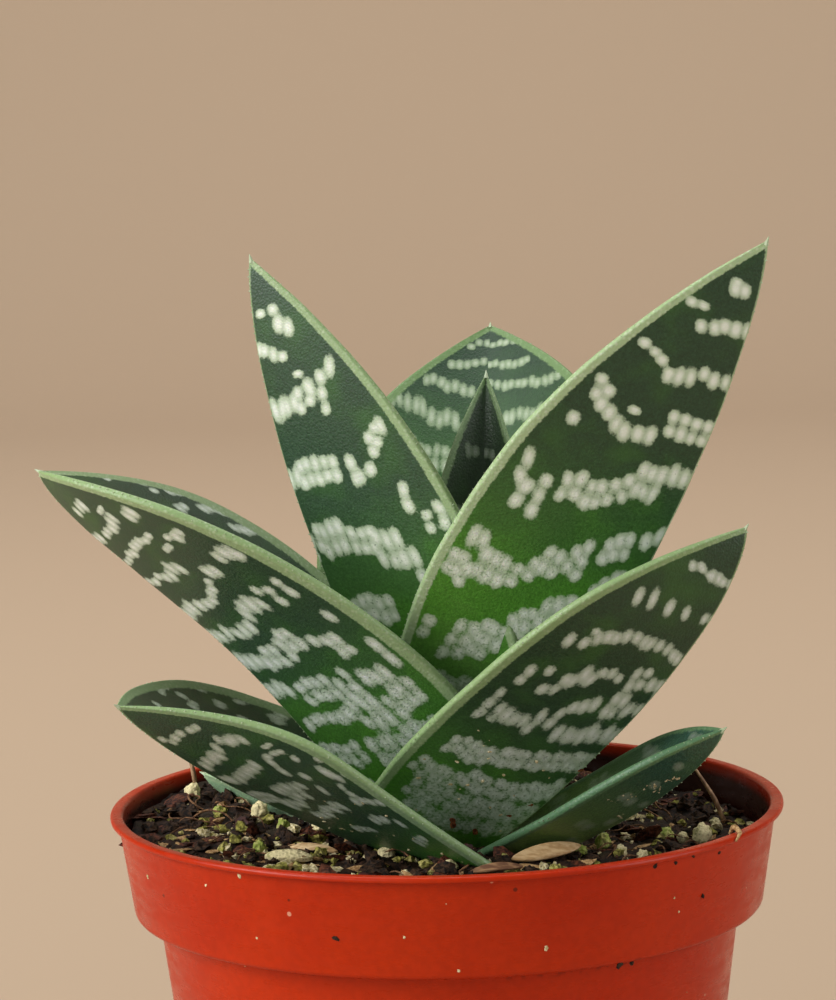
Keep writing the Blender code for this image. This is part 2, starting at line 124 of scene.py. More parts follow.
def join_all(pieces):
    """Make one object of several. It keeps the first one's name."""
    bpy.ops.object.select_all(action="DESELECT")
    for piece in pieces:
        piece.select_set(True)
    bpy.context.view_layer.objects.active = pieces[0]
    bpy.ops.object.join()
    return bpy.context.object


def close_up(ob, distance):
    """Merge points that lie together and turn every face outwards."""
    edit_all(ob)
    bpy.ops.mesh.remove_doubles(threshold=distance)
    bpy.ops.mesh.normals_make_consistent(inside=False)
    bpy.ops.object.mode_set(mode="OBJECT")


def keep(ob, slot, mat, *replaced):
    """Give a finished piece its material, its body and the CAD nodes that it stands for."""
    ob.data.materials.clear()
    ob.data.materials.append(mat)
    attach(ob, "root")
    if replaced:
        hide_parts(*replaced)
    print(ob.name, len(ob.data.polygons), "faces")


def mesh_points(ob):
    co = np.empty(len(ob.data.vertices) * 3, np.float32)
    ob.data.vertices.foreach_get("co", co)
    return co.reshape(-1, 3).astype(float)


def set_points(ob, co):
    ob.data.vertices.foreach_set("co", co.astype(np.float32).ravel())
    ob.data.update()


def add_attribute(ob, name, values):
    layer = ob.data.attributes.new(name, "FLOAT", "POINT")
    layer.data.foreach_set("value", values.astype(np.float32))


# %% [markdown]
# The camera
#
# It stands half a metre in front of the rim and a little above it, level with the young leaves. Its
# place and turn follow from the ellipses of the pot's lip and collar.

# %% Camera
RIM = 88.0                        # height of the lip over the surface that the pot stands on
CAMERA_AT = (0, -489.1, RIM + 103.7)
PITCH, YAW, ROLL = math.radians(6.62), math.radians(-0.38), math.radians(-1.44)
FOCAL_PX, FRAME_HEIGHT_PX, SENSOR_MM = 3208, 1000, 36

ahead = Vector((math.sin(YAW) * math.cos(PITCH), math.cos(YAW) * math.cos(PITCH), -math.sin(PITCH)))
level = Vector((math.cos(YAW), -math.sin(YAW), 0))
upright = level.cross(ahead)
right = level * math.cos(ROLL) + upright * math.sin(ROLL)
upward = upright * math.cos(ROLL) - level * math.sin(ROLL)

bpy.ops.object.camera_add(location=[c * MM for c in CAMERA_AT])
camera = bpy.context.object
camera.rotation_euler = Matrix((right, upward, -ahead)).transposed().to_euler()
camera.data.sensor_fit = "VERTICAL"
camera.data.sensor_height = SENSOR_MM
camera.data.lens = FOCAL_PX / FRAME_HEIGHT_PX * SENSOR_MM
camera.data.clip_start = 0.01
bpy.context.scene.camera = camera
print("lens", round(camera.data.lens, 1), "mm")

# %% [markdown]
# The table and the backdrop
#
# One sheet of tan card that lies flat and sweeps up behind, so that no edge shows. A plane's back
# edge is extruded up along an arc. The card is matt, and painted shade makes it a little darker in front.

# %% Sweep of card
CARD_WIDTH, CARD_FRONT, CARD_BACK, SWEEP_RADIUS, SWEEP_HEIGHT = 24.0, 12.0, 1.6, 0.9, 3.5

bpy.ops.mesh.primitive_plane_add(size=1)
card = bpy.context.object
card.name = "studio_card"
for v in card.data.vertices:
    v.co.x *= CARD_WIDTH
    v.co.y = CARD_BACK if v.co.y > 0 else -CARD_FRONT
select_only(card)
bpy.ops.object.mode_set(mode="EDIT")
bpy.ops.mesh.select_mode(type="VERT")
bpy.ops.mesh.select_all(action="DESELECT")
bpy.ops.object.mode_set(mode="OBJECT")
for v in card.data.vertices:
    v.select = v.co.y > 0
bpy.ops.object.mode_set(mode="EDIT")
SWEEP_STEPS = 16
for k in range(SWEEP_STEPS):
    a, b = (math.pi / 2 * (k + i) / SWEEP_STEPS for i in (0, 1))
    step = Vector((0, math.sin(b) - math.sin(a), math.cos(a) - math.cos(b))) * SWEEP_RADIUS
    bpy.ops.mesh.extrude_region_move(TRANSFORM_OT_translate={"value": step})
bpy.ops.mesh.extrude_region_move(TRANSFORM_OT_translate={"value": (0, 0, SWEEP_HEIGHT)})
bpy.ops.object.mode_set(mode="OBJECT")
card.data.shade_smooth()

card_paint, add, shader = new_material("matt_tan_card")
depth = add("SeparateXYZ", [add("TexCoord").outputs["Object"]]).outputs["Y"]
# painted shade: the card's colour goes from darker in front to lighter behind
shade_front_to_back = add("MapRange", [depth, 0.0, CARD_BACK])
paint = add("Mix", [shade_front_to_back, colour("B49D84"), colour("C8AF94")], **COLOURS)
plug_in(shader, {"Base Color": paint, "Roughness": 0.9, "Specular IOR Level": 0.2})
card.data.materials.append(card_paint)

# %% [markdown]
# Light
#
# A big soft light from the left and front does most of the work, a weaker one from the right opens
# the shadows, and one from above gives the upturned faces their satin shine. A low one in front
# reaches the undersides of the leaves, and the last one is aimed at the backdrop.

# %% Lights
def soft_light(name, place, aim, size, power, tint):
    bpy.ops.object.light_add(type="AREA", location=place)
    lamp = bpy.context.object
    lamp.name = name
    lamp.rotation_euler = (Vector(aim) - Vector(place)).to_track_quat("-Z", "Y").to_euler()
    lamp.data.shape = "RECTANGLE"
    lamp.data.size, lamp.data.size_y = size
    lamp.data.energy = power
    lamp.data.color = colour(tint)[:3]


MIDDLE = (0, 0, 0.1)
soft_light("key_left", (-1.15, -0.5, 0.7), MIDDLE, (0.8, 0.8), 19, "FFFFFF")
soft_light("fill_right", (1.2, -0.4, 0.45), MIDDLE, (0.7, 0.9), 7.3, "FFFFFF")
soft_light("top", (-0.1, 0.15, 1.2), MIDDLE, (1.0, 0.8), 2.5, "FFFFFF")
soft_light("low_front", (-0.75, -0.95, 0.12), MIDDLE, (0.9, 0.4), 2.6, "F4F8FF")
soft_light("backdrop", (0, 0.5, 1.6), (0, 1.9, 0.3), (2.4, 0.8), 20, "FFFFFF")

world = bpy.data.worlds.new("studio_room")
bpy.context.scene.world = world
world.use_nodes = True
plug_in(world.node_tree.nodes["Background"], {"Color": colour("F2F4F6"), "Strength": 0.31})
bpy.context.scene.view_settings.view_transform = "Standard"

# %% [markdown]
# The leaves
#
# Each leaf is a thick, folded blade: a keel below, a channel above, and a pale horny edge. It grows
# from the stem along a midline that turns a little. heading is the way it points in plan and rise
# its angle above level, both from root to tip in degrees. flank is the widest half of the blade,
# reached at widest along its length. taper says how late it narrows from there to the tip, and clasp
# how much of it is lost at the root. fold lifts each half from flat, belly is the keel's depth, and
# roll turns the blade about its length. root is where the midline starts, from the rim's centre, in
# millimetres.

# %% Leaf sizes
LEAVES = {
    "leaf_left_oldest": dict(
        heading=(157.4, 157.4), rise=(23, 19), length=47.2, flank=6.4, taper=3.6, widest=0.5,
        fold=(33, 29), belly=3.2, roll=(0, 0), root=(1.5, 2.9, -15.8), clasp=0.2),
    "leaf_right_low": dict(
        heading=(-30.6, -32.7), rise=(24.2, 37.7), length=44.3, flank=8.2, taper=2.87, widest=0.44,
        fold=(27.8, 30.9), belly=3.1, roll=(13, 13), root=(8.6, -6.0, -7.7), clasp=0.2),
    "leaf_back_low": dict(
        heading=(92, 86), rise=(32, 23), length=60, flank=18.0, taper=2.6, widest=0.45,
        fold=(36, 30), belly=3.4, roll=(-4, -4), root=(4.2, 7.5, -11.0), clasp=0.25),
    "leaf_left_low": dict(
        heading=(195.3, 223.6), rise=(26.7, 31.9), length=62.1, flank=21.0, taper=2.14, widest=0.52,
        fold=(24.9, 25.2), belly=2.6, roll=(-13.5, -3.3), root=(-0.6, -5.1, -8.8), clasp=0.05),
    "leaf_right_middle": dict(
        heading=(-34.4, -24.2), rise=(37.8, 52.7), length=70.5, flank=21.0, taper=3.2, widest=0.39,
        fold=(43.3, 22.3), belly=5.3, roll=(4.7, -3.7), root=(1.2, -4.8, -4.7), clasp=0.2),
    "leaf_back_middle": dict(
        heading=(78, 84), rise=(47, 34), length=82, flank=22.5, taper=2.6, widest=0.38,
        fold=(43, 30), belly=4.8, roll=(3, 3), root=(4.8, 4.6, -4.6), clasp=0.3),
    "leaf_left_middle": dict(
        heading=(202.1, 168.9), rise=(65.4, 27.1), length=84.8, flank=21.5, taper=4.55, widest=0.33,
        fold=(52.6, 12.0), belly=5.8, roll=(-0.3, 5.0), root=(-3.9, -3.1, -6.7), clasp=0.24),
    "leaf_right_tall": dict(
        heading=(-39.3, -30.2), rise=(52.9, 64.5), length=99.1, flank=25.2, taper=2.41, widest=0.38,
        fold=(48.1, 38.3), belly=5.2, roll=(1.3, 1.3), root=(5.6, -0.5, 1.9), clasp=0.35),
    "leaf_back_tall": dict(
        heading=(84, 86), rise=(63.1, 48.4), length=85.4, flank=27.4, taper=2.43, widest=0.38,
        fold=(41.8, 16.5), belly=4.2, roll=(-8.5, -8.5), root=(5.2, 3.0, -0.1), clasp=0.5),
    "leaf_left_tall": dict(
        heading=(193.8, 193.4), rise=(62.1, 77.1), length=91.0, flank=23.0, taper=2.49, widest=0.33,
        fold=(44.2, 41.3), belly=4.6, roll=(-0.5, -0.5), root=(3.4, -0.1, -0.2), clasp=0.5),
    "leaf_right_young": dict(
        heading=(-36, -34), rise=(64, 67), length=60, flank=13.0, taper=2.2, widest=0.35,
        fold=(48, 42), belly=3.2, roll=(0, 0), root=(6.0, -0.2, 4.0), clasp=0.5),
    "leaf_back_young": dict(
        heading=(79.2, 80), rise=(74.8, 79.1), length=62.8, flank=11.9, taper=1.96, widest=0.32,
        fold=(45, 37), belly=3.0, roll=(0.3, 0.3), root=(5.3, 1.0, 3.7), clasp=0.45),
    "leaf_centre_spear": dict(
        heading=(195, 195), rise=(82, 84), length=34, flank=6.0, taper=1.9, widest=0.35,
        fold=(58, 50), belly=2.4, roll=(0, 0), root=(4.6, 0.4, 5.0), clasp=0.4),
}
MARGIN_THICK, MARGIN_NOSE, KEEL_ROUND, CHANNEL_FILL = 1.3, 0.35, 0.6, 1.9
CHANNEL_CURVE, FILL_CURVE, FLANK_BULGE, KEEL_FADE, EDGE_FADE = 1.3, 0.8, 0.2, 0.7, 0.5
MIDLINE_STEPS = 240
print("leaves:", len(LEAVES))

# %% [markdown]
# The midline is added up in short straight steps, and every section hangs on it: side points across
# the leaf and up points out of its channel.

# %% Midline and sections
def between(pair, s):
    return pair[0] + (pair[1] - pair[0]) * s


def directions(d, s):
    h, r = np.radians(between(d["heading"], s)), np.radians(between(d["rise"], s))
    return h, np.stack([np.cos(r) * np.cos(h), np.cos(r) * np.sin(h), np.sin(r)], -1)


def midline(d, s):
    """Place, direction, side and up of the midline at each share s of its length."""
    share = np.arange(MIDLINE_STEPS + 1) / MIDLINE_STEPS
    steps = directions(d, share)[1][:-1] * d["length"] / MIDLINE_STEPS
    path = np.vstack([np.zeros(3), np.cumsum(steps, 0)]) + np.array(d["root"]) + (0, 0, RIM)
    place = np.stack([np.interp(s, share, path[:, k]) for k in range(3)], -1)
    h, along = directions(d, s)
    flat = np.stack([-np.sin(h), np.cos(h), np.zeros_like(h)], -1)
    turn = np.radians(between(d["roll"], s))[..., None]
    side = flat * np.cos(turn) + np.cross(along, flat) * np.sin(turn)
    return place, along, side, np.cross(along, side)


def blade_width(d, s):
    late = np.clip((s - d["widest"]) / (1 - d["widest"]), 0, 1)
    early = np.clip((d["widest"] - s) / d["widest"], 0, 1)
    return d["flank"] * (1 - late ** d["taper"]) * (1 - d["clasp"] * early ** 2)


def blade_points(d, s, q, face, turn=0.0):
    """Points of the blade in millimetres: q runs from -1 to 1 between its edges.

    face is under, upper or edge, where turn goes from -90 degrees at the under face round to 90.
    """
    place, along, side, up = midline(d, s)
    width = blade_width(d, s)
    part = width / d["flank"]
    fold = np.radians(between(d["fold"], s))
    ca, sa = np.cos(fold), np.sin(fold)
    low, high = d["belly"] * part ** KEEL_FADE, CHANNEL_FILL * part
    edge = MARGIN_THICK * part ** EDGE_FADE
    t = np.abs(q)
    soft = KEEL_ROUND / d["flank"]
    rounded = (np.sqrt(t * t + soft * soft) - soft) / (math.sqrt(1 + soft * soft) - soft)
    half = edge / 2 * t ** 3
    if face == "under":
        bulged = rounded + FLANK_BULGE * (t * t - t)
        x = width * ca * t + sa * half
        y = -low + (width * sa + low) * bulged - ca * half
    elif face == "upper":
        x = width * ca * t - sa * half
        y = width * sa * t ** CHANNEL_CURVE + high * (1 - t) ** FILL_CURVE + ca * half
    else:
        out = width + MARGIN_NOSE * edge * np.cos(turn)
        lift = edge / 2 * np.sin(turn)
        x, y = out * ca - lift * sa, out * sa + lift * ca
    x = x * np.sign(q)
    return place - side * x[..., None] + up * y[..., None]


# %% [markdown]
# Pale spots
#
# The spots are ovals drawn out along the leaf. They stand shoulder to shoulder in cross bands that
# wander over each flank, and near the base the bands crowd into a pale mesh. A band is its depth
# along the leaf in millimetres and the points that it runs through. A point is (share of the way
# from keel to edge, share of the leaf's length from its root), and a band with one point is a dot.
# The flanks that the picture shows are written out here; l is a leaf's own left flank, r its right.

# %% Bands that the picture shows
BANDS = {
    ("leaf_right_tall", "under", "r"): [
        (2.6, (0.36, 0.925), (0.58, 0.927)), (1.2, (0.62, 0.934), (0.75, 0.937)),
        (2.5, (0.08, 0.866), (0.22, 0.866), (0.3, 0.86), (0.58, 0.856)),
        (1.8, (0.7, 0.881), (0.8, 0.884)),
        (3, (0, 0.782), (0.1, 0.787), (0.3, 0.789), (0.42, 0.778), (0.48, 0.769)),
        (1.9, (0.54, 0.778), (0.66, 0.79), (0.82, 0.804)),
        (4.6, (0, 0.712), (0.18, 0.705), (0.34, 0.701)), (3.5, (0.42, 0.68), (0.55, 0.674), (0.7, 0.695)),
        (4.6, (0.8, 0.71), (0.86, 0.722)), (1.4, (0.57, 0.705)), (2.4, (0.84, 0.662)),
        (4.3, (0, 0.634), (0.12, 0.624)), (6.3, (0.22, 0.612), (0.3, 0.602)),
        (5.4, (0.38, 0.585), (0.48, 0.562), (0.62, 0.553), (0.68, 0.545)), (8, (0.74, 0.527)),
        (5.5, (0.82, 0.52)), (6.5, (0.88, 0.562)), (3.8, (0, 0.533), (0.12, 0.512)),
        (5, (0.2, 0.495), (0.3, 0.478)), (7.6, (0.37, 0.452)), (5.5, (0.44, 0.444), (0.52, 0.43)),
        (4.8, (0.6, 0.4), (0.66, 0.385)), (6.2, (0.72, 0.382), (0.8, 0.39)),
        (4, (0.87, 0.42), (0.92, 0.435)), (5, (0.87, 0.36), (0.92, 0.375)),
        (5, (0.12, 0.44), (0.24, 0.4)), (6, (0.32, 0.365), (0.4, 0.345)),
        (7.8, (0.48, 0.318), (0.56, 0.29)), (7.6, (0.63, 0.265), (0.7, 0.25)), (8.5, (0.78, 0.243)),
        (4.8, (0.92, 0.245)), (6, (0.05, 0.36), (0.25, 0.28), (0.45, 0.215), (0.65, 0.16), (0.85, 0.145)),
        (7, (0, 0.24), (0.3, 0.13), (0.6, 0.07), (0.95, 0.05))],
    ("leaf_left_tall", "under", "l"): [
        (1.7, (0.31, 0.911), (0.46, 0.911)), (3, (0.52, 0.887), (0.66, 0.876)),
        (2.3, (0.08, 0.852), (0.2, 0.842), (0.32, 0.834)), (3.8, (0.79, 0.8)),
        (4, (0.1, 0.754), (0.18, 0.752)), (3.3, (0.24, 0.753), (0.32, 0.752)),
        (4.5, (0.38, 0.763), (0.46, 0.766)), (3.2, (0.5, 0.77)), (7.4, (0.58, 0.76)), (1.2, (0.43, 0.8)),
        (4.5, (0.76, 0.657), (0.8, 0.67)), (4, (0.86, 0.684)), (4.2, (0.04, 0.629), (0.1, 0.634)),
        (5, (0.16, 0.638), (0.3, 0.633)), (4.4, (0.36, 0.63), (0.46, 0.625)), (5.2, (0.53, 0.622)),
        (2.8, (0.58, 0.61), (0.64, 0.612)), (5.2, (0.78, 0.555)), (4.4, (0.84, 0.505)), (5, (0.93, 0.51)),
        (5, (0.02, 0.517), (0.08, 0.519)), (6, (0.15, 0.519), (0.3, 0.51)),
        (4.8, (0.36, 0.505), (0.44, 0.497)), (6.8, (0.5, 0.479), (0.6, 0.471)), (7, (0.66, 0.433)),
        (5, (0.16, 0.39), (0.3, 0.383), (0.42, 0.37)), (5, (0.5, 0.34), (0.62, 0.31), (0.8, 0.29)),
        (5.6, (0.02, 0.3), (0.25, 0.27), (0.5, 0.22), (0.75, 0.19)),
        (6, (0, 0.18), (0.4, 0.12), (0.9, 0.08))],
    ("leaf_right_middle", "under", "r"): [
        (1.7, (0.07, 0.886), (0.16, 0.885)), (2.3, (0.25, 0.883), (0.34, 0.883)),
        (1.2, (0.42, 0.889), (0.52, 0.892)), (1.6, (0.62, 0.893), (0.77, 0.893)),
        (2.6, (0.02, 0.797), (0.13, 0.796)), (3, (0.28, 0.794)), (3.2, (0.45, 0.791)),
        (3.6, (0.64, 0.794)), (3.4, (0.76, 0.787)),
        (2.8, (0, 0.7), (0.1, 0.692), (0.2, 0.705), (0.35, 0.699), (0.5, 0.7)),
        (3, (0.55, 0.693), (0.62, 0.678), (0.67, 0.668)), (1.6, (0.73, 0.676)), (2.8, (0.73, 0.64)),
        (4, (0.82, 0.631)), (3.2, (0, 0.622), (0.14, 0.615)), (4.8, (0.2, 0.62), (0.29, 0.612)),
        (2.6, (0.36, 0.603), (0.5, 0.598)), (3.6, (0.51, 0.572), (0.57, 0.55)), (5, (0.62, 0.525)),
        (2.8, (0.75, 0.544)), (2.5, (0.69, 0.496)), (4.6, (0.83, 0.507)), (3.6, (0, 0.56), (0.12, 0.543)),
        (5.6, (0.2, 0.536), (0.27, 0.525)), (3.4, (0.34, 0.51), (0.43, 0.488)), (5, (0.47, 0.445)),
        (6, (0.55, 0.412)), (3.5, (0.63, 0.393), (0.78, 0.4)), (5.5, (0.86, 0.42)), (2.5, (0.86, 0.366)),
        (1.4, (0.78, 0.368)), (4, (0, 0.476), (0.1, 0.46), (0.2, 0.445), (0.3, 0.424), (0.4, 0.404)),
        (4.8, (0, 0.387), (0.15, 0.36), (0.3, 0.332), (0.45, 0.31), (0.55, 0.287), (0.68, 0.272),
         (0.86, 0.272)),
        (4.6, (0, 0.29), (0.2, 0.245), (0.4, 0.21), (0.6, 0.187), (0.75, 0.16), (0.9, 0.17)),
        (4.6, (0, 0.21), (0.2, 0.174), (0.5, 0.125), (0.8, 0.105)),
        (4, (0.05, 0.13), (0.4, 0.07), (0.8, 0.05))],
    ("leaf_left_middle", "under", "l"): [
        (2.6, (0.36, 0.891), (0.55, 0.888)), (2.8, (0.08, 0.838), (0.18, 0.838)),
        (2.1, (0.29, 0.827), (0.43, 0.827)), (3.2, (0.56, 0.83), (0.67, 0.834)),
        (1.1, (0.64, 0.857), (0.72, 0.858)), (3, (0.8, 0.812), (0.9, 0.812)),
        (1.9, (0, 0.778), (0.2, 0.776), (0.35, 0.78), (0.46, 0.772), (0.6, 0.764)),
        (1.4, (0.6, 0.726), (0.78, 0.736)), (2.3, (0.8, 0.72), (0.87, 0.715)),
        (2.2, (0, 0.716), (0.2, 0.712)), (2.8, (0.27, 0.7), (0.36, 0.7)),
        (3.5, (0.42, 0.7), (0.5, 0.697)), (3.6, (0.05, 0.628), (0.24, 0.628)),
        (2.6, (0.31, 0.61), (0.38, 0.613)), (2, (0.43, 0.626), (0.52, 0.641)),
        (3, (0.62, 0.648), (0.68, 0.646)), (3.5, (0.82, 0.655), (0.9, 0.648)), (2.6, (0.92, 0.635)),
        (4, (0, 0.56), (0.21, 0.556)), (3.5, (0.26, 0.54), (0.39, 0.54)), (3.5, (0.45, 0.557)),
        (4, (0.52, 0.563), (0.61, 0.562)), (2.5, (0.7, 0.576)), (4.5, (0.75, 0.55)), (4.6, (0.87, 0.552)),
        (4.2, (0, 0.5), (0.12, 0.486), (0.22, 0.474)), (5, (0.3, 0.466), (0.45, 0.472), (0.58, 0.47)),
        (3.5, (0.64, 0.452)), (5, (0.72, 0.425), (0.77, 0.415)), (2.7, (0.87, 0.47)),
        (4, (0.02, 0.42), (0.2, 0.405)), (5.5, (0.28, 0.385), (0.4, 0.368), (0.6, 0.358)),
        (4, (0.7, 0.352), (0.8, 0.342)), (6, (0.9, 0.372)),
        (3, (0.12, 0.33), (0.28, 0.315), (0.4, 0.302)), (7, (0.48, 0.29), (0.6, 0.285)),
        (5, (0.7, 0.28), (0.84, 0.29)), (5, (0.1, 0.25), (0.3, 0.235)),
        (6.5, (0.4, 0.21), (0.62, 0.2), (0.85, 0.21)), (5, (0.1, 0.16), (0.5, 0.12), (0.9, 0.1))],
    ("leaf_left_low", "under", "l"): [
        (2.2, (0.15, 0.844), (0.28, 0.843)), (2.2, (0.34, 0.845), (0.46, 0.848)),
        (1.9, (0.6, 0.85), (0.74, 0.854)), (3.4, (0.15, 0.735), (0.28, 0.728)),
        (3.2, (0.34, 0.742), (0.48, 0.756)), (3.2, (0.6, 0.775), (0.7, 0.765), (0.78, 0.758)),
        (1.4, (0.8, 0.706), (0.88, 0.713)), (3.6, (0.1, 0.642), (0.26, 0.636)),
        (3.4, (0.34, 0.645), (0.5, 0.66)), (5.8, (0.61, 0.627)), (1.8, (0.7, 0.67), (0.8, 0.673)),
        (2.8, (0.82, 0.632)), (2, (0.95, 0.6)), (4.6, (0.08, 0.54), (0.22, 0.515)),
        (3.6, (0.34, 0.54), (0.46, 0.53), (0.58, 0.54)), (2.6, (0.68, 0.56)),
        (3.6, (0.87, 0.55), (0.88, 0.52)), (3.4, (0.66, 0.49)),
        (4, (0.22, 0.455), (0.34, 0.485), (0.46, 0.49)), (4.6, (0.82, 0.46)), (2, (0.97, 0.51)),
        (3.4, (0.28, 0.405), (0.4, 0.395), (0.52, 0.405), (0.62, 0.42)),
        (3, (0.78, 0.405), (0.92, 0.378)), (3.6, (0.68, 0.315), (0.78, 0.3)), (3.6, (0.84, 0.275)),
        (3, (0.4, 0.3), (0.5, 0.29)), (3, (0.75, 0.19), (0.85, 0.2))],
    ("leaf_left_low", "upper", "r"): [
        (2.6, (0.8, 0.72)), (2, (0.86, 0.79), (0.9, 0.77)), (2.4, (0.95, 0.73)),
        (2.6, (0.78, 0.62), (0.82, 0.6)), (2.4, (0.93, 0.65), (0.97, 0.63)), (2.6, (0.88, 0.55)),
        (2, (0.62, 0.82)), (2.2, (0.7, 0.7), (0.72, 0.68)), (2.2, (0.95, 0.52), (0.98, 0.48)),
        (2.4, (0.7, 0.55)), (3, (0.82, 0.46), (0.9, 0.44)), (3, (0.6, 0.5), (0.66, 0.48))],
    ("leaf_left_middle", "upper", "r"): [
        (2.2, (0.84, 0.895), (0.88, 0.893)), (2, (0.81, 0.818)), (2.6, (0.93, 0.85)),
        (2.4, (0.9, 0.79), (0.96, 0.77)), (2.8, (0.86, 0.72), (0.92, 0.7)), (2.2, (0.96, 0.7)),
        (3, (0.84, 0.65), (0.9, 0.63)), (2.6, (0.96, 0.6), (0.98, 0.58)),
        (2.6, (0.7, 0.76), (0.76, 0.75)), (3, (0.55, 0.68), (0.7, 0.66)), (3.2, (0.5, 0.57), (0.8, 0.54)),
        (3.6, (0.1, 0.62), (0.4, 0.6)), (4, (0.2, 0.48), (0.8, 0.44)), (4.5, (0.1, 0.36), (0.9, 0.3))],
    ("leaf_back_tall", "upper", "l"): [
        (1.8, (0.15, 0.955), (0.55, 0.945)), (2.2, (0.15, 0.905), (0.72, 0.895)),
        (3, (0.22, 0.83), (0.5, 0.845), (0.88, 0.86)), (4, (0.22, 0.755), (0.5, 0.77), (0.98, 0.8)),
        (5.5, (0.1, 0.66), (0.5, 0.675), (0.95, 0.71)), (6, (0.05, 0.55), (0.5, 0.56), (0.95, 0.6)),
        (7, (0.05, 0.42), (0.5, 0.43), (0.95, 0.46)), (7, (0.05, 0.28), (0.95, 0.3))],
    ("leaf_back_tall", "upper", "r"): [
        (1.5, (0.2, 0.947), (0.8, 0.943)), (2, (0.05, 0.895), (0.7, 0.882)),
        (2.4, (0.05, 0.845), (0.9, 0.815)), (3.6, (0.05, 0.76), (0.5, 0.752), (0.9, 0.735)),
        (5, (0.05, 0.665), (0.5, 0.66), (0.95, 0.64)), (6, (0.05, 0.55), (0.5, 0.54), (0.95, 0.52)),
        (7, (0.05, 0.42), (0.95, 0.4)), (7, (0.05, 0.28), (0.95, 0.27))],
    ("leaf_back_young", "upper", "l"): [
        (2.4, (0.35, 0.81), (0.6, 0.805)), (2.2, (0.3, 0.66), (0.5, 0.655))],
    ("leaf_back_young", "upper", "r"): [
        (2.2, (0.12, 0.8), (0.3, 0.8)), (2.4, (0.3, 0.7), (0.7, 0.69))],
    ("leaf_right_low", "under", "r"): [
        (2.4, (0.53, 0.81)), (2.6, (0.45, 0.7)), (3, (0.5, 0.59), (0.62, 0.58)), (2.2, (0.2, 0.6)),
        (2.6, (0.25, 0.46)), (3, (0.5, 0.4), (0.7, 0.39)), (3, (0.2, 0.3), (0.35, 0.29))],
    ("leaf_left_oldest", "under", "l"): [
        (2, (0.4, 0.5)), (2, (0.6, 0.3))],
}
print("bands:", sum(len(rows) for rows in BANDS.values()))

# %% Ovals along each band
OVAL_LENGTH, OVAL_BLEND, OVAL_CORNER, OVAL_REACH = 2.9, 0.13, 2.4, 2
USUAL_STEP, BAND_GAP = 1.35, 9
OVAL_STEPS = {"leaf_right_tall": 1.6, "leaf_left_tall": 1.5, "leaf_left_low": 1.2, "leaf_right_middle": 1.25}


def plain_bands(d, rng):
    """Bands for a face that the picture doesn't show: finer and farther apart towards the tip."""
    count = max(4, round(d["length"] / BAND_GAP))
    bands = []
    for k in range(count):
        s = 0.93 * (1 - (k + 0.3 * rng.random()) / count) ** 1.1
        q = rng.choice([0.0, 0.05, 0.15])
        deep = 2.2 + 3.6 * (1 - s)
        while q < 0.92:
            run = rng.uniform(0.15, 0.45)
            slant = 0.02 + 0.1 * (1 - s)
            ends = [(at, s - slant * at + rng.normal(0, 0.006)) for at in (q, min(q + run, 0.95))]
            bands.append((deep * rng.uniform(0.7, 1.2), *ends))
            q += run + (0.12 if rng.random() < 0.3 else 0.02)
    return bands


def band_ovals(d, bands, rng, step):
    """Ovals as rows of (across, along, half across, half along, lean), in millimetres."""
    ovals = []
    for deep, *points in bands:
        line = np.array([(q * blade_width(d, np.array(s)), s * d["length"]) for q, s in points])
        legs = np.linalg.norm(np.diff(line, axis=0), axis=1) if len(line) > 1 else np.zeros(1)
        reach = np.concatenate([[0], np.cumsum(legs)])
        stretch = 0.3 * step if len(line) > 1 else 0.0
        here = -stretch
        while here <= reach[-1] + stretch:
            along_line = np.clip(here, 0, reach[-1])
            x = np.interp(along_line, reach[:len(line)], line[:, 0]) + here - along_line
            y = np.interp(along_line, reach[:len(line)], line[:, 1])
            count = max(1, round(deep / OVAL_LENGTH))
            if len(line) > 1:
                y += rng.normal(0, 0.13 * min(deep, 3.4))
            for k in range(count):
                shift = (k - (count - 1) / 2) * deep / count
                half = deep / count * (0.5 if count == 1 else 0.55) * rng.uniform(0.78, 1.1)
                ovals.append((x + rng.normal(0, 0.1), y + shift, 0.54 * step * rng.uniform(0.88, 1.12),
                              max(half, 0.5), rng.normal(0, 0.1)))
            here += step * rng.uniform(0.85, 1.18)
    return ovals


def spot_depth(across, along, ovals):
    """How deep in a pale spot each point lies, in millimetres, and below 0 outside them all."""
    total = np.zeros_like(across)
    for at_x, at_y, half_across, half_along, lean in ovals:
        near = np.flatnonzero((np.abs(across - at_x) < 3) & (np.abs(along - at_y) < half_along + 2))
        x, y = across[near] - at_x, along[near] - at_y
        u = (x * math.cos(lean) - y * math.sin(lean)) / half_across
        v = (x * math.sin(lean) + y * math.cos(lean)) / half_along
        reach = (np.abs(u) ** OVAL_CORNER + np.abs(v) ** OVAL_CORNER) ** (1 / OVAL_CORNER)
        total[near] += np.exp(np.clip((1 - reach) * half_across, -OVAL_REACH, OVAL_REACH) / OVAL_BLEND)
    return OVAL_BLEND * np.log(np.maximum(total, math.exp(-OVAL_REACH / OVAL_BLEND)))


# %% [markdown]
# Building a leaf
#
# A grid is the natural start: its columns go round the section and its rows from root to tip. The
# section changes all the way, in width, fold and depth, so the points are placed by formula instead
# of by hand. Merging the grid's two long sides closes the blade, and its last row becomes the tip.

# %% Leaf blades
SHOWN_STEPS, HIDDEN_STEPS = (0.42, 0.62), (0.8, 1.0)
NOSE_POINTS, MORE_ROWS = 7, 1.15
SWELL, SWELL_SCALE, SWELL_FROM = 0.2, 0.11, 6
UPPER_BAND = 0.5                  # the pale edge reaches in twice as far on the upper side


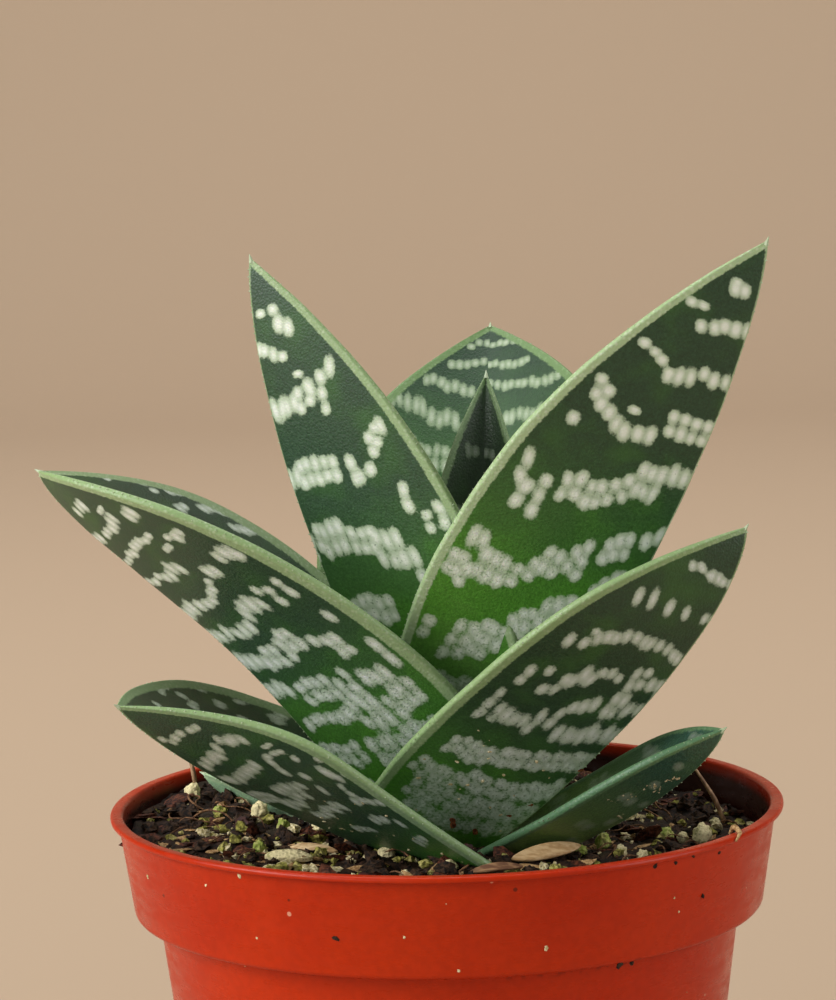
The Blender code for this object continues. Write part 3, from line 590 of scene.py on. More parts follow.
def build_blade(name, d, seed, shown):
    """A leaf's blade. seed also shifts its gentle swelling, so that no two leaves swell alike."""
    rng = np.random.default_rng(seed)
    across_step, along_step = SHOWN_STEPS if shown else HIDDEN_STEPS
    t = np.linspace(0, 1, max(12, round(d["flank"] / across_step)))
    nose = np.radians(np.linspace(-90, 90, NOSE_POINTS + 2)[1:-1])
    still, end = np.zeros(len(t)), np.ones(NOSE_POINTS)
    column_q = np.concatenate([t, end, t[::-1], -t[1:], -end, -t[::-1]])
    column_turn = np.concatenate([still, nose, still, still[1:], nose[::-1], still])
    column_face = np.concatenate([still, end, still + 2, still[1:] + 2, end, still]).astype(int)
    rows = round(d["length"] / along_step * MORE_ROWS)
    row_s = np.sin(np.linspace(0, math.pi / 2, rows + 1))

    bpy.ops.mesh.primitive_grid_add(x_subdivisions=len(column_q) - 1, y_subdivisions=rows, size=1)
    blade = bpy.context.object
    blade.name = name + "_blade"
    flat = mesh_points(blade)
    column = np.round((flat[:, 0] + 0.5) * (len(column_q) - 1)).astype(int)
    row = np.round((flat[:, 1] + 0.5) * rows).astype(int)
    q, s, turn, face = column_q[column], row_s[row], column_turn[column], column_face[column]

    co = np.zeros_like(flat)
    for number, kind in enumerate(("under", "edge", "upper")):
        here = face == number
        co[here] = blade_points(d, s[here], q[here], kind, turn[here])
    body = co - midline(d, s)[0]
    far = np.maximum(np.linalg.norm(body, axis=1), 1)
    swell = np.array([noise.noise(Vector(p) * SWELL_SCALE + Vector((seed, 0, 0))) for p in co])
    co += body / far[:, None] * (swell * SWELL * np.minimum(far / SWELL_FROM, 1))[:, None]
    set_points(blade, co * MM)

    width = blade_width(d, s)
    spot = np.full(len(q), -2.0)
    for sign, flank in ((-1, "l"), (1, "r")):
        for number, kind in ((0, "under"), (2, "upper")):
            bands = BANDS.get((name, kind, flank)) or plain_bands(d, rng)
            here = ((np.sign(q) == sign) | (q == 0)) & (face == number)
            depth = spot_depth(np.abs(q[here]) * width[here], s[here] * d["length"],
                               band_ovals(d, bands, rng, OVAL_STEPS.get(name, USUAL_STEP)))
            spot[here] = np.maximum(spot[here], depth)
    add_attribute(blade, "spot", spot)
    inward = width * (1 - np.abs(q)) * np.where(face == 2, UPPER_BAND, 1)
    add_attribute(blade, "from_edge", np.where(face == 1, -0.4 * np.cos(turn), inward))
    add_attribute(blade, "from_keel", np.where(face == 0, width * np.abs(q), 9.0))
    add_attribute(blade, "along", s)
    close_up(blade, 0.02 * MM)
    edit_all(blade)
    bpy.ops.mesh.select_all(action="DESELECT")
    bpy.ops.mesh.select_mode(type="EDGE")
    bpy.ops.mesh.select_non_manifold()
    bpy.ops.mesh.edge_face_add()
    bpy.ops.object.mode_set(mode="OBJECT")
    blade.data.shade_smooth()
    return blade


# %% [markdown]
# Leaf skin
#
# The skin is a waxy cuticle over green flesh: satin, with a grain of tiny papillae. It goes from a
# dark green near the tip to a fresh green near the base. The spots are cells with air in them, so
# they are cream white, brightest in the middle of each oval, and green shows through them near the
# base. The edge is a horny band, granular and pale, and so is the line along the keel.

# %% Leaf material
# sizes of the patterns, in millimetres
LEAF_CLOUD, LEAF_GRAIN, LEAF_GRIT, PAPILLA, HORN_GRAIN = 7, 0.45, 0.22, 0.36, 0.75


def leaf_skin(name, look):
    mat, add, shader = new_material(name)
    place = add("TexCoord").outputs["Object"]
    spot, edge, keel, along = [add("Attribute", attribute_name=kind).outputs["Fac"]
                               for kind in ("spot", "from_edge", "from_keel", "along")]
    cloud = add("TexNoise", [place, 1 / (LEAF_CLOUD * MM)])
    fine = add("TexNoise", [place, 1 / (LEAF_GRAIN * MM), 3])
    grit = add("TexNoise", [place, 1 / (LEAF_GRIT * MM), 1])

    # green, from the dark tip to the fresh base and its washed-out foot
    drift = add("Math", [cloud, 0.5], operation="SUBTRACT")
    wander = add("Math", [drift, 0.3, along], operation="MULTIPLY_ADD")
    start, full = look["fresh"]
    fresh = add("MapRange", [wander, start, full], **SMOOTH)
    green = add("Mix", [fresh, colour(look["dark"]), colour(look["bright"])], **COLOURS)
    washed = add("MapRange", [wander, full + 0.05, full - 0.22, 0, look["wash"]], **SMOOTH)
    green = add("Mix", [washed, green, colour("A3BD7C")], **COLOURS)
    for pattern, *limits in ((fine, 0.3, 0.7, 0.84, 1.16), (grit, 0.35, 0.75, 0.92, 1.14)):
        speckle = add("MapRange", [pattern, *limits], **SMOOTH)
        green = add("Mix", [1.0, green, speckle], **COLOURS, blend_type="MULTIPLY")
    cloudy = add("MapRange", [cloud, 0.42, 0.75, 0, 0.22], **SMOOTH)
    green = add("Mix", [cloudy, green, colour(look["bright"])], **COLOURS)

    # spots: ragged, brightest in the middle, and full of pores near the base
    ragged = add("Math", [fine, 0.5], operation="SUBTRACT")
    depth = add("Math", [ragged, 0.42, spot], operation="MULTIPLY_ADD")
    in_spot = add("MapRange", [depth, -0.12, 0.2], **SMOOTH)
    pores = add("Math", [along, 0.35, fine], operation="MULTIPLY_ADD")
    filled = add("MapRange", [pores, 0.44, 0.56, 0.5, 1], **SMOOTH)
    pale = add("Math", [in_spot, look["pale"]], operation="MULTIPLY")
    strength = add("Math", [filled, pale], operation="MULTIPLY")
    core = add("MapRange", [spot, 0.1, 0.7], **SMOOTH)
    cream = add("Mix", [core, colour(look["spot_rim"]), colour(look["spot"])], **COLOURS)
    skin = add("Mix", [strength, green, cream], **COLOURS)

    # horny edge and keel, with whitish grains
    cells = add("TexVoronoi", {"Vector": place, "Scale": 1 / (HORN_GRAIN * MM)}).outputs["Distance"]
    grain = add("MapRange", [cells, 0.5, 0.1, 0, 0.45], **SMOOTH)
    off_nose = add("MapRange", [edge, -0.38, -0.12], **SMOOTH)
    horny = add("Mix", [off_nose, colour(look["margin_middle"]), colour(look["margin"])], **COLOURS)
    horny = add("Mix", [grain, horny, colour(look["margin_grain"])], **COLOURS)
    from_edge = add("Math", [ragged, 0.5, edge], operation="MULTIPLY_ADD")
    on_edge = add("MapRange", [from_edge, look["band"] + 0.16, look["band"] - 0.1], **SMOOTH)
    from_keel = add("Math", [ragged, 0.4, keel], operation="MULTIPLY_ADD")
    on_keel = add("MapRange", [from_keel, 0.42, 0.16, 0, 0.8], **SMOOTH)
    on_horn = add("Math", [on_edge, on_keel], operation="MAXIMUM")
    skin = add("Mix", [on_horn, skin, horny], **COLOURS)

    # satin wax over papillae, with the spots standing a little proud
    satin = add("MapRange", [fine, 0.3, 0.7, 0.38, 0.52], **SMOOTH)
    papillae = add("TexVoronoi", {"Vector": place, "Scale": 1 / (PAPILLA * MM), "Smoothness": 0.6},
                   feature="SMOOTH_F1").outputs["Distance"]
    raised = add("Math", [papillae, -1.0], operation="MULTIPLY")
    height = add("Math", [strength, 0.5, raised], operation="MULTIPLY_ADD")
    bump = add("Bump", {"Height": height, "Strength": 0.55, "Distance": 0.1 * MM})
    plug_in(shader, {"Base Color": skin, "Roughness": satin, "Normal": bump, "IOR": 1.45,
                     "Subsurface Weight": 0.1, "Subsurface Radius": (0.6, 1.0, 0.3),
                     "Subsurface Scale": 1.2 * MM})
    return mat


# %% [markdown]
# Teeth
#
# Tiny white horny teeth stand along both edges and along the keel, and a white thorn ends each leaf.
# A tooth is a cone with five sides. It is modelled once, and its copies are placed by formula.

# %% Teeth and thorns
def shape_of(ob):
    """The points and faces of a small model, which is then taken away."""
    select_only(ob)
    bpy.ops.object.transform_apply()
    points = mesh_points(ob)
    faces = [tuple(p.vertices) for p in ob.data.polygons]
    bpy.data.objects.remove(ob, do_unlink=True)
    return points, faces


def cone_shape(sides):
    bpy.ops.mesh.primitive_cone_add(vertices=sides, radius1=1, radius2=0.15, depth=1,
                                    location=(0, 0, 0.5))
    return shape_of(bpy.context.object)


def copies_of(name, shape, bases):
    """One mesh with a copy of the shape at each (place, 3 x 3 of its axes), in millimetres."""
    points, faces = shape
    count = len(points)
    co = np.concatenate([points @ axes + place for place, axes in bases]) * MM
    mesh = bpy.data.meshes.new(name)
    mesh.from_pydata(co.tolist(), [], [tuple(i + k * count for i in f)
                                       for k in range(len(bases)) for f in faces])
    ob = bpy.data.objects.new(name, mesh)
    bpy.context.scene.collection.objects.link(ob)
    return ob


def axes_along(direction, thick, tall):
    z = Vector(direction).normalized()
    x = z.orthogonal().normalized()
    y = z.cross(x)
    return np.array([x * thick, y * thick, z * tall])


TOOTH_STEP, KEEL_SHARE = 1.05, 0.75         # three of four steps have a tooth on the keel too
TOOTH_THICK, TOOTH_TALL = (0.1, 0.16), (0.2, 0.34)
KEEL_THICK, KEEL_TALL = (0.14, 0.2), (0.2, 0.32)
THORN_THICK, THORN_TALL = 0.42, 1.25
CONE = cone_shape(5)


def build_teeth(name, d, seed):
    rng = np.random.default_rng(seed + 500)
    bases = []
    count = round(d["length"] / TOOTH_STEP)
    for s in (np.arange(count) + 0.5) / count:
        for q in (-1.0, 1.0):
            here = np.array(np.clip(s + rng.normal(0, 0.1) / count, 0, 0.995))
            turn = np.array(rng.uniform(-0.7, 0.7))
            place, along = midline(d, here)[:2]
            tip = blade_points(d, here, np.array(q), "edge", turn)
            out = tip - place
            out = out / np.linalg.norm(out) + along * 0.35
            axes = axes_along(out, rng.uniform(*TOOTH_THICK), rng.uniform(*TOOTH_TALL))
            bases.append((tip - out * 0.12, axes))
        if rng.random() < KEEL_SHARE:
            here = np.array(s)
            _, along, _, up = midline(d, here)
            tip = blade_points(d, here, np.array(rng.normal(0, 0.004)), "under")
            axes = axes_along(along * 0.3 - up, rng.uniform(*KEEL_THICK), rng.uniform(*KEEL_TALL))
            bases.append((tip + up * 0.1, axes))
    end, along = midline(d, np.array(1.0))[:2]
    bases.append((end - along * 0.6, axes_along(along, THORN_THICK, THORN_TALL)))
    teeth = copies_of(name + "_teeth", CONE, bases)
    close_up(teeth, 0.001 * MM)
    return teeth


# %% Horn of the teeth
# horn is pale and satin, and greener in some teeth than in others
horn, add, shader = new_material("white_horn")
patches = add("TexNoise", [add("TexCoord").outputs["Object"], 1 / (2 * MM)])
tint = add("Mix", [patches, colour("96AC7C"), colour("C2CEB0")], **COLOURS)
plug_in(shader, {"Base Color": tint, "Roughness": 0.45})

# %% [markdown]
# How the leaves differ
#
# Leaves that stand in the light are fresher green at their base, partly their own colour and partly
# painted light, and the back tall leaf is painted darker all over as painted shade. The oldest are dull
# and washed out, and the youngest has hardly any spots yet. fresh says where along the leaf the bright
# green starts and where it is full, wash and pale how strong the foot and the spots are, and band how
# wide the pale edge is, in millimetres. The leaves that the camera sees are the ones with a look of their
# own, and they get the finer mesh.

# %% Every leaf
USUAL = dict(dark="2A432B", bright="4A8426", wash=0.2, fresh=(0.55, 0.2), pale=0.95,
             spot="E8EEDF", spot_rim="B4C5A6", margin="93AB7C", margin_grain="B9C8A6",
             margin_middle="8AA46E", band=0.72)
LOOKS = {
    "leaf_right_tall": dict(fresh=(0.66, 0.3), margin="A5BB8E", margin_grain="CDD8BC",
                            margin_middle="9DB682"),
    "leaf_left_tall": dict(fresh=(0.6, 0.2), dark="2F4A31"),
    "leaf_left_middle": dict(fresh=(0.5, 0.15), pale=0.93, spot="ECF1E8", spot_rim="BAC8B1", band=0.9,
                             dark="304832"),
    "leaf_right_middle": dict(fresh=(0.42, 0.02), wash=0.55, pale=0.9, spot="DEE5DC", spot_rim="AFBEA7",
                              margin="86A06E", margin_grain="A9BB94"),
    "leaf_left_low": dict(fresh=(0.35, -0.1), pale=0.9, dark="2F4A35", spot="DFE8DE", spot_rim="AABBA4",
                          margin="83A074", margin_grain="A1B592", band=0.9),
    "leaf_right_low": dict(fresh=(0.8, 0.2), bright="6E8C4A", pale=0.22, dark="2F5140", wash=0.6, band=0.3,
                           margin="5F8159", margin_grain="7C9A70", margin_middle="557A55"),
    "leaf_left_oldest": dict(dark="8FB08A", bright="B4C795", pale=0.12, fresh=(0.5, 0.3), margin="A3BE94",
                             margin_grain="B5CAA4", margin_middle="A3BE94"),
    "leaf_back_young": dict(dark="33452F", fresh=(0.3, 0.0), pale=0.35, band=0.3, margin="7F976B",
                            margin_grain="98AB84", margin_middle="7A9166"),
    # painted shade: this leaf's greens, spots and edge are all coloured darker than the others'
    "leaf_back_tall": dict(fresh=(0.9, 0.5), bright="3F6A2E", dark="27412A", pale=0.85, spot="BCC8AC",
                           spot_rim="8CA07C", margin="6F8C58", margin_grain="8FA67A",
                           margin_middle="6A8754"),
}
for seed, (name, d) in enumerate(LEAVES.items()):
    blade = build_blade(name, d, seed, name in LOOKS)
    keep(blade, "leaf", leaf_skin("leaf_cuticle_" + name[5:], USUAL | LOOKS.get(name, {})), name)
    keep(build_teeth(name, d, seed), "leaf", horn)

# %% [markdown]
# The pot
#
# A nursery pot is thin polypropylene, moulded in one go: a tapered body, a collar that lets pots
# stack, and a flat lip at the top. Its wall is a profile turned round the axis. The
# profile is drawn as a line of short edges with its corners rounded, and a screw modifier turns it.

# %% Pot shell
POT_WALL, COLLAR_TOP, COLLAR_LOW, BODY_TOP, BODY_LOW = 0.8, 50.8, 48.6, 44.9, 35.7
LIP_R, LIP_DEEP, FLOOR, COLLAR_TALL = 52.0, 0.9, 1.6, 16.8
STEP = RIM - COLLAR_TALL
POT_SIDES = 240
# radius, height and the radius of the corner's rounding
POT_PROFILE = [
    (0, FLOOR, 0), (BODY_LOW - POT_WALL - 0.2, FLOOR, 1.0), (BODY_TOP - POT_WALL, STEP + 1.4, 0.8),
    (COLLAR_LOW - POT_WALL, STEP + 2.6, 0.7), (COLLAR_TOP - POT_WALL, RIM, 0.6),
    (LIP_R, RIM, 0.42), (LIP_R - 0.05, RIM - LIP_DEEP, 0.3), (COLLAR_TOP, RIM - LIP_DEEP, 0.3),
    (COLLAR_LOW, STEP + 1.2, 1.0), (BODY_TOP + 0.1, STEP + 0.9, 0.6), (BODY_LOW, 0.0, 1.3), (0, 0, 0),
]


def rounded_line(corners, steps=4):
    """A line through corners that are rounded by arcs of their own radius."""
    line = []
    for k, (r, z, radius) in enumerate(corners):
        here = Vector((r, z))
        if not radius:
            line.append(here)
            continue
        back = (Vector(corners[k - 1][:2]) - here).normalized()
        on = (Vector(corners[k + 1][:2]) - here).normalized()
        half = back.angle(on) / 2
        reach = radius / math.tan(half)
        middle = here + (back + on).normalized() * radius / math.sin(half)
        start, end = here + back * reach - middle, here + on * reach - middle
        sweep = start.angle_signed(end)
        for i in range(steps + 1):
            a = -sweep * i / steps
            turned = Vector((start.x * math.cos(a) - start.y * math.sin(a),
                             start.x * math.sin(a) + start.y * math.cos(a)))
            line.append(middle + turned)
    return line


profile = rounded_line(POT_PROFILE)
mesh = bpy.data.meshes.new("pot_shell")
mesh.from_pydata([(p.x * MM, 0, p.y * MM) for p in profile],
                 [(i, i + 1) for i in range(len(profile) - 1)], [])
pot = bpy.data.objects.new("pot_shell", mesh)
bpy.context.scene.collection.objects.link(pot)
select_only(pot)
turn = pot.modifiers.new("turn", "SCREW")
turn.steps = turn.render_steps = POT_SIDES
turn.use_merge_vertices = True
turn.merge_threshold = 0.01 * MM
bpy.ops.object.modifier_apply(modifier="turn")
close_up(pot, 0.01 * MM)
print("profile points", len(profile))

# %% [markdown]
# Eight round holes let the water out. They are drilled through the floor with cylinders joined into
# one cutter.

# %% Drain holes
DRAINS, DRAIN_R, DRAIN_RING = 8, 3.0, 25.0

drills = []
for k in range(DRAINS):
    a = 2 * math.pi * (k + 0.5) / DRAINS
    bpy.ops.mesh.primitive_cylinder_add(vertices=32, radius=DRAIN_R * MM, depth=8 * MM, location=(
        DRAIN_RING * math.cos(a) * MM, DRAIN_RING * math.sin(a) * MM, 0))
    drills.append(bpy.context.object)
cutter = join_all(drills[::-1])
select_only(pot)
cut = pot.modifiers.new("drains", "BOOLEAN")
cut.object = cutter
cut.operation = "DIFFERENCE"
bpy.ops.object.modifier_apply(modifier="drains")
bpy.data.objects.remove(cutter, do_unlink=True)
select_only(pot)
bpy.ops.object.shade_smooth_by_angle(angle=math.radians(40))
x, y, z = mesh_points(pot).T / MM
inner_wall = np.interp(z, (STEP + 3, RIM), (COLLAR_LOW - POT_WALL, COLLAR_TOP - POT_WALL))
on_inside = (z > STEP + 1.6) & (np.hypot(x, y) < inner_wall + 0.25)
add_attribute(pot, "inside", on_inside)
print("points on the inside", on_inside.sum())

# %% [markdown]
# The plastic is brick red polypropylene: glossy, and a little duller where it has been handled. Grime
# sits in the step under the collar, darkened there by painted shade under the overhang, the inside
# carries a dark stain from the mix and painted shade that deepens below the lip, and watering has
# left pale and dark specks.

# %% Pot material
plastic, add, shader = new_material("polypropylene_brick_red")
place = add("TexCoord").outputs["Object"]
xyz = add("SeparateXYZ", [place])
height = xyz.outputs["Z"]
patchy = add("MapRange", [add("TexNoise", [place, 1 / (18 * MM), 4]), 0.3, 0.7], **SMOOTH)
red = add("Mix", [patchy, colour("AC2503"), colour("B62D05")], **COLOURS)
grain = add("MapRange", [add("TexNoise", [place, 1 / (1.2 * MM), 3]), 0.3, 0.7, 0.95, 1.05], **SMOOTH)
red = add("Mix", [1.0, red, grain], **COLOURS, blend_type="MULTIPLY")

# grime and painted shade in the step under the collar's overhang, heavier on the right
off_step = add("Math", [height, (STEP + 0.7) * MM], operation="SUBTRACT")
near_step = add("MapRange", [add("Math", [off_step], operation="ABSOLUTE"), 1.3 * MM, 0], **SMOOTH)
dirt_and_shade_patches = add("MapRange", [add("TexNoise", [place, 1 / (1.6 * MM), 4]), 0.52, 0.66, 0, 0.85], **SMOOTH)
rightward = add("MapRange", [xyz.outputs["X"], -5 * MM, 25 * MM, 0.15, 1], **SMOOTH)
grime_and_shade = add("Math", [near_step, dirt_and_shade_patches], operation="MULTIPLY")
grime_and_shade = add("Math", [grime_and_shade, rightward], operation="MULTIPLY")
red = add("Mix", [grime_and_shade, red, colour("3A1208")], **COLOURS)

# stain of the mix inside, with painted shade that deepens below the lip
inside = add("Attribute", attribute_name="inside").outputs["Fac"]
under_lip = add("MapRange", [height, (RIM - 0.4) * MM, (RIM - 2.4) * MM, 0.1, 0.96], **SMOOTH)
stain_and_shade = add("Math", [inside, under_lip], operation="MULTIPLY")
red = add("Mix", [stain_and_shade, red, colour("1C0904")], **COLOURS)

# dried specks: about a quarter of the cells of a Voronoi pattern, some pale and some dark
cells = add("TexVoronoi", {"Vector": place, "Scale": 1 / (3.2 * MM)})
chance = add("SeparateColor", [cells.outputs["Color"]])
speck_size = add("MapRange", [chance.outputs["Red"], 0.72, 0.98, 0.0, 0.13], **SMOOTH)
off_speck = add("Math", [cells.outputs["Distance"], speck_size], operation="SUBTRACT")
on_speck = add("MapRange", [off_speck, 0.012, -0.012], **SMOOTH)
rare = add("MapRange", [chance.outputs["Red"], 0.72, 0.74], **SMOOTH)
on_speck = add("Math", [on_speck, rare], operation="MULTIPLY")
on_speck = add("Math", [on_speck, 0.75], operation="MULTIPLY")
is_dark = add("MapRange", [chance.outputs["Green"], 0.45, 0.5], **SMOOTH)
speck = add("Mix", [is_dark, colour("D9A183"), colour("4A1A0C")], **COLOURS)
red = add("Mix", [on_speck, red, speck], **COLOURS)

scuffs = add("TexNoise", [add("Mapping", {"Vector": place, "Scale": (1, 1, 4)}), 1 / (5 * MM), 6])
worn = add("MapRange", [scuffs, 0.4, 0.7, 0.27, 0.42], **SMOOTH)
ripple = add("TexNoise", [place, 1 / (0.5 * MM), 2])
bump = add("Bump", {"Height": ripple, "Strength": 0.08, "Distance": 0.2 * MM})
plug_in(shader, {"Base Color": red, "Roughness": worn, "Normal": bump, "IOR": 1.49,
                 "Specular IOR Level": 0.22})
keep(pot, "pot", plastic, "pot")

# %% [markdown]
# The potting mix
#
# Peat with bark, perlite and old roots. Its top slopes up to the left and the back, and it is lumpy
# at every size down to a millimetre. The body of the mix is a grid whose rows run from the middle of
# the top out to the wall and down inside the pot, with the lumps added by noise.

# %% Body of the mix
SOIL_DEPTH, SOIL_SLOPE, SOIL_MOUND = 5.3, (-0.025, 0.03), (-38, 22, 1.6, 14)
SOIL_ROUGH, SOIL_ROUGH_SCALE = 0.55, 0.16
LUMPS = [(6.0, 0.9), (2.6, 0.75), (1.2, 0.4), (0.6, 0.16)]


def soil_height(x, y):
    mound_x, mound_y, mound, spread = SOIL_MOUND
    z = RIM - SOIL_DEPTH + SOIL_SLOPE[0] * x + SOIL_SLOPE[1] * y
    z += mound * math.exp(-((x - mound_x) ** 2 + (y - mound_y) ** 2) / (2 * spread ** 2))
    return z + SOIL_ROUGH * noise.noise(Vector((x * SOIL_ROUGH_SCALE, y * SOIL_ROUGH_SCALE, 3.1)))


def mix_height(x, y):
    lumps = sum(high * noise.noise(Vector((x / size, y / size, 7 * size))) for size, high in LUMPS)
    return soil_height(x, y) + lumps - 0.2


MIX_ROWS, MIX_SIDES, MIX_R = 104, 420, 49.0
# radius and height of its side, from top to bottom, just inside the wall
MIX_SIDE = [(47.6, STEP + 6.5), (47.3, STEP + 3.8), (43.5, STEP + 2.7), (43.6, STEP + 1.0),
            (34.4, 3.6), (0.0, 2.0)]
bpy.ops.mesh.primitive_grid_add(x_subdivisions=MIX_SIDES, y_subdivisions=MIX_ROWS + len(MIX_SIDE), size=1)
mix = bpy.context.object
mix.name = "potting_mix"
flat = mesh_points(mix)
turn = (flat[:, 0] + 0.5) * 2 * math.pi
row = np.round((flat[:, 1] + 0.5) * (MIX_ROWS + len(MIX_SIDE))).astype(int)
co = np.zeros_like(flat)
for k, (a, n) in enumerate(zip(turn, row)):
    r = MIX_R * min(n, MIX_ROWS) / MIX_ROWS
    if n > MIX_ROWS:
        r, z = MIX_SIDE[n - MIX_ROWS - 1]
        co[k] = (r * math.cos(a), r * math.sin(a), z)
    else:
        co[k] = (r * math.cos(a), r * math.sin(a), mix_height(r * math.cos(a), r * math.sin(a)))
set_points(mix, co * MM)
close_up(mix, 0.01 * MM)
mix.data.shade_smooth()

# %% [markdown]
# Wet peat is nearly black, with brown and rust-red fibres in it.

# %% Peat material
def earthy(name, dark, light, rough=0.95, grain_mm=0.7, tint=None):
    """A matt natural stuff that goes from dark to light in small patches."""
    mat, add, shader = new_material(name)
    place = add("TexCoord").outputs["Object"]
    patches = add("MapRange", [add("TexNoise", [place, 1 / (grain_mm * MM), 5]), 0.36, 0.66], **SMOOTH)
    base = add("Mix", [patches, colour(dark), colour(light)], **COLOURS)
    if tint:
        wide = add("TexNoise", [place, 1 / (4 * grain_mm * MM), 3])
        tinted = add("MapRange", [wide, 0.5, 0.66, 0, 0.8], **SMOOTH)
        base = add("Mix", [tinted, base, colour(tint)], **COLOURS)
    crumbly = add("TexNoise", [place, 1 / (grain_mm / 2 * MM), 4])
    bump = add("Bump", {"Height": crumbly, "Strength": 0.8, "Distance": 0.3 * grain_mm * MM})
    plug_in(shader, {"Base Color": base, "Roughness": rough, "Specular IOR Level": 0.25, "Normal": bump})
    return mat


peat = earthy("moist_peat", "150D09", "3A2417", rough=0.75, grain_mm=0.9, tint="2A2213")
keep(mix, "soil", peat, "soil")

# %% [markdown]
# Loose litter
#
# The top is strewn with crumbs: peat lumps, bark flakes, algae-green grit and perlite dust. A lump
# is a small ball pushed in and out by noise. Three lumps of each kind are modelled, with 40 faces
# each, and their copies lie at random on the mix, sunk in it by a quarter to a half. The paler kinds
# crowd at the front left. Peat is nearly black, bark is reddish, and the rest is dry and pale.

# %% Lumps
def lump_shapes(count, rough, seed):
    shapes = []
    for k in range(count):
        bpy.ops.mesh.primitive_uv_sphere_add(segments=8, ring_count=5, radius=1)
        points, faces = shape_of(bpy.context.object)
        own = Vector((seed * 5.1, k * 2.3, 0))
        points *= np.array([1 + rough * noise.noise(Vector(p) * 1.3 + own)
                            + 0.4 * rough * noise.noise(Vector(p) * 3.1 + own) for p in points])[:, None]
        shapes.append((points, faces))
    return shapes


def turned_axes(rng, sizes, tilt):
    """Axes of three lengths, turned at random, and tilted from flat by up to tilt radians."""
    lean = Matrix.Rotation(rng.uniform(-tilt, tilt), 3, "X")
    spin = Matrix.Rotation(rng.uniform(0, 2 * math.pi), 3, "Z")
    return np.array((lean @ spin @ Matrix.Diagonal(sizes)).transposed())


LITTER_R, LITTER_KINDS = 48.2, 3
CROWD_X, CROWD_Y, CROWD_SPREAD = -22, -16, 9


def strew(name, slot, mat, count, seed, sizes, rough, sink=0.2, tilt=0.6, where=None):
    """Copies of lumps on the mix. sizes holds (least, most) and how long and how thick a lump is."""
    rng = np.random.default_rng(seed)
    shapes = lump_shapes(LITTER_KINDS, rough, seed)
    parts = [[] for _ in shapes]
    (least, most), long, thick = sizes
    done = 0
    while done < count:
        r, a = LITTER_R * math.sqrt(rng.random()), rng.uniform(0, 2 * math.pi)
        x, y = r * math.cos(a), r * math.sin(a)
        if where and not where(x, y, rng):
            continue
        size = least + (most - least) * rng.random() ** 2
        z = mix_height(x, y) + size * thick * (0.5 - sink * rng.random() * 2)
        axes = turned_axes(rng, (size * long, size, size * thick), tilt)
        parts[done % len(shapes)].append((np.array((x, y, z)), axes))
        done += 1
    keep(join_all([copies_of(name, shape, bases) for shape, bases in zip(shapes, parts)]), slot, mat)


def front_left(x, y, rng):
    crowd = math.exp(-((x - CROWD_X) / CROWD_SPREAD) ** 2 - ((y - CROWD_Y) / CROWD_SPREAD) ** 2)
    return rng.random() < 0.16 + 0.1 * (y < 5) + 0.74 * crowd


dark_peat = earthy("peat_lumps", "130C08", "46301F", rough=0.8, grain_mm=0.6)
red_bark = earthy("pine_bark_flakes", "2A130D", "6A3A25", rough=0.65, grain_mm=0.5)
algae = earthy("algae_on_grit", "5A5426", "A6A04C", rough=0.85, grain_mm=0.5, tint="CFC27C")
chalky = earthy("perlite_dust", "B0A070", "E6D9B0", rough=0.95, grain_mm=0.4)
tan_wood = earthy("weathered_pine", "8F6A42", "C9A473", rough=0.75, grain_mm=0.4)
strew("peat_crumbs", "soil", dark_peat, 800, 1, ((0.4, 1.5), 1.35, 0.75), 0.9)
strew("peat_grit", "soil", peat, 500, 2, ((0.2, 0.55), 1.3, 0.7), 0.8, sink=0)
strew("bark_flakes", "bark", red_bark, 200, 3, ((0.4, 1.6), 1.9, 0.3), 0.7, sink=0.1, tilt=1.1)
strew("green_grit", "perlite", algae, 420, 4, ((0.25, 1.1), 1.3, 0.8), 0.7, sink=0.1, where=front_left)
strew("perlite_crumbs", "perlite", chalky, 270, 5, ((0.2, 1.0), 1.3, 0.85), 0.7, sink=0, where=front_left)
strew("wood_crumbs", "wood", tan_wood, 150, 6, ((0.3, 1.1), 2.8, 0.35), 0.5, sink=0, tilt=0.9,
      where=front_left)

# %% [markdown]
# Perlite is volcanic glass puffed up by heat: brittle, white to cream, full of pits, and greenish
# where algae grow on it. The grains that the picture shows one by one stand at their own places.

# %% Perlite grains
def perlite_stuff(name, white, green, share):
    mat, add, shader = new_material(name)
    place = add("TexCoord").outputs["Object"]
    pits = add("TexVoronoi", {"Vector": place, "Scale": 1 / (0.55 * MM)}).outputs["Distance"]
    clouds = add("TexNoise", [place, 1 / (1.1 * MM), 3])
    film = add("MapRange", [clouds, 0.62 - 0.4 * share, 0.8 - 0.4 * share], **SMOOTH)
    base = add("Mix", [film, colour(white), colour(green)], **COLOURS)
    # painted shade: the pits are coloured darker towards their middle
    pit_shade = add("MapRange", [pits, 0.1, 0.45, 0.45, 0], **SMOOTH)
    base = add("Mix", [pit_shade, base, colour("6E6440")], **COLOURS)
    bump = add("Bump", {"Height": pits, "Strength": 0.9, "Distance": 0.2 * MM})
    plug_in(shader, {"Base Color": base, "Roughness": 0.8, "Normal": bump})
    return mat


cream_perlite = perlite_stuff("perlite", "E2D3A2", "ADA768", 0.2)
green_perlite = perlite_stuff("perlite_with_algae", "BDB96E", "8C9A3E", 0.6)
GREENISH = {"perlite_02", "perlite_04", "perlite_06", "perlite_09", "perlite_10", "perlite_13"}
GRAIN_DETAIL = 4


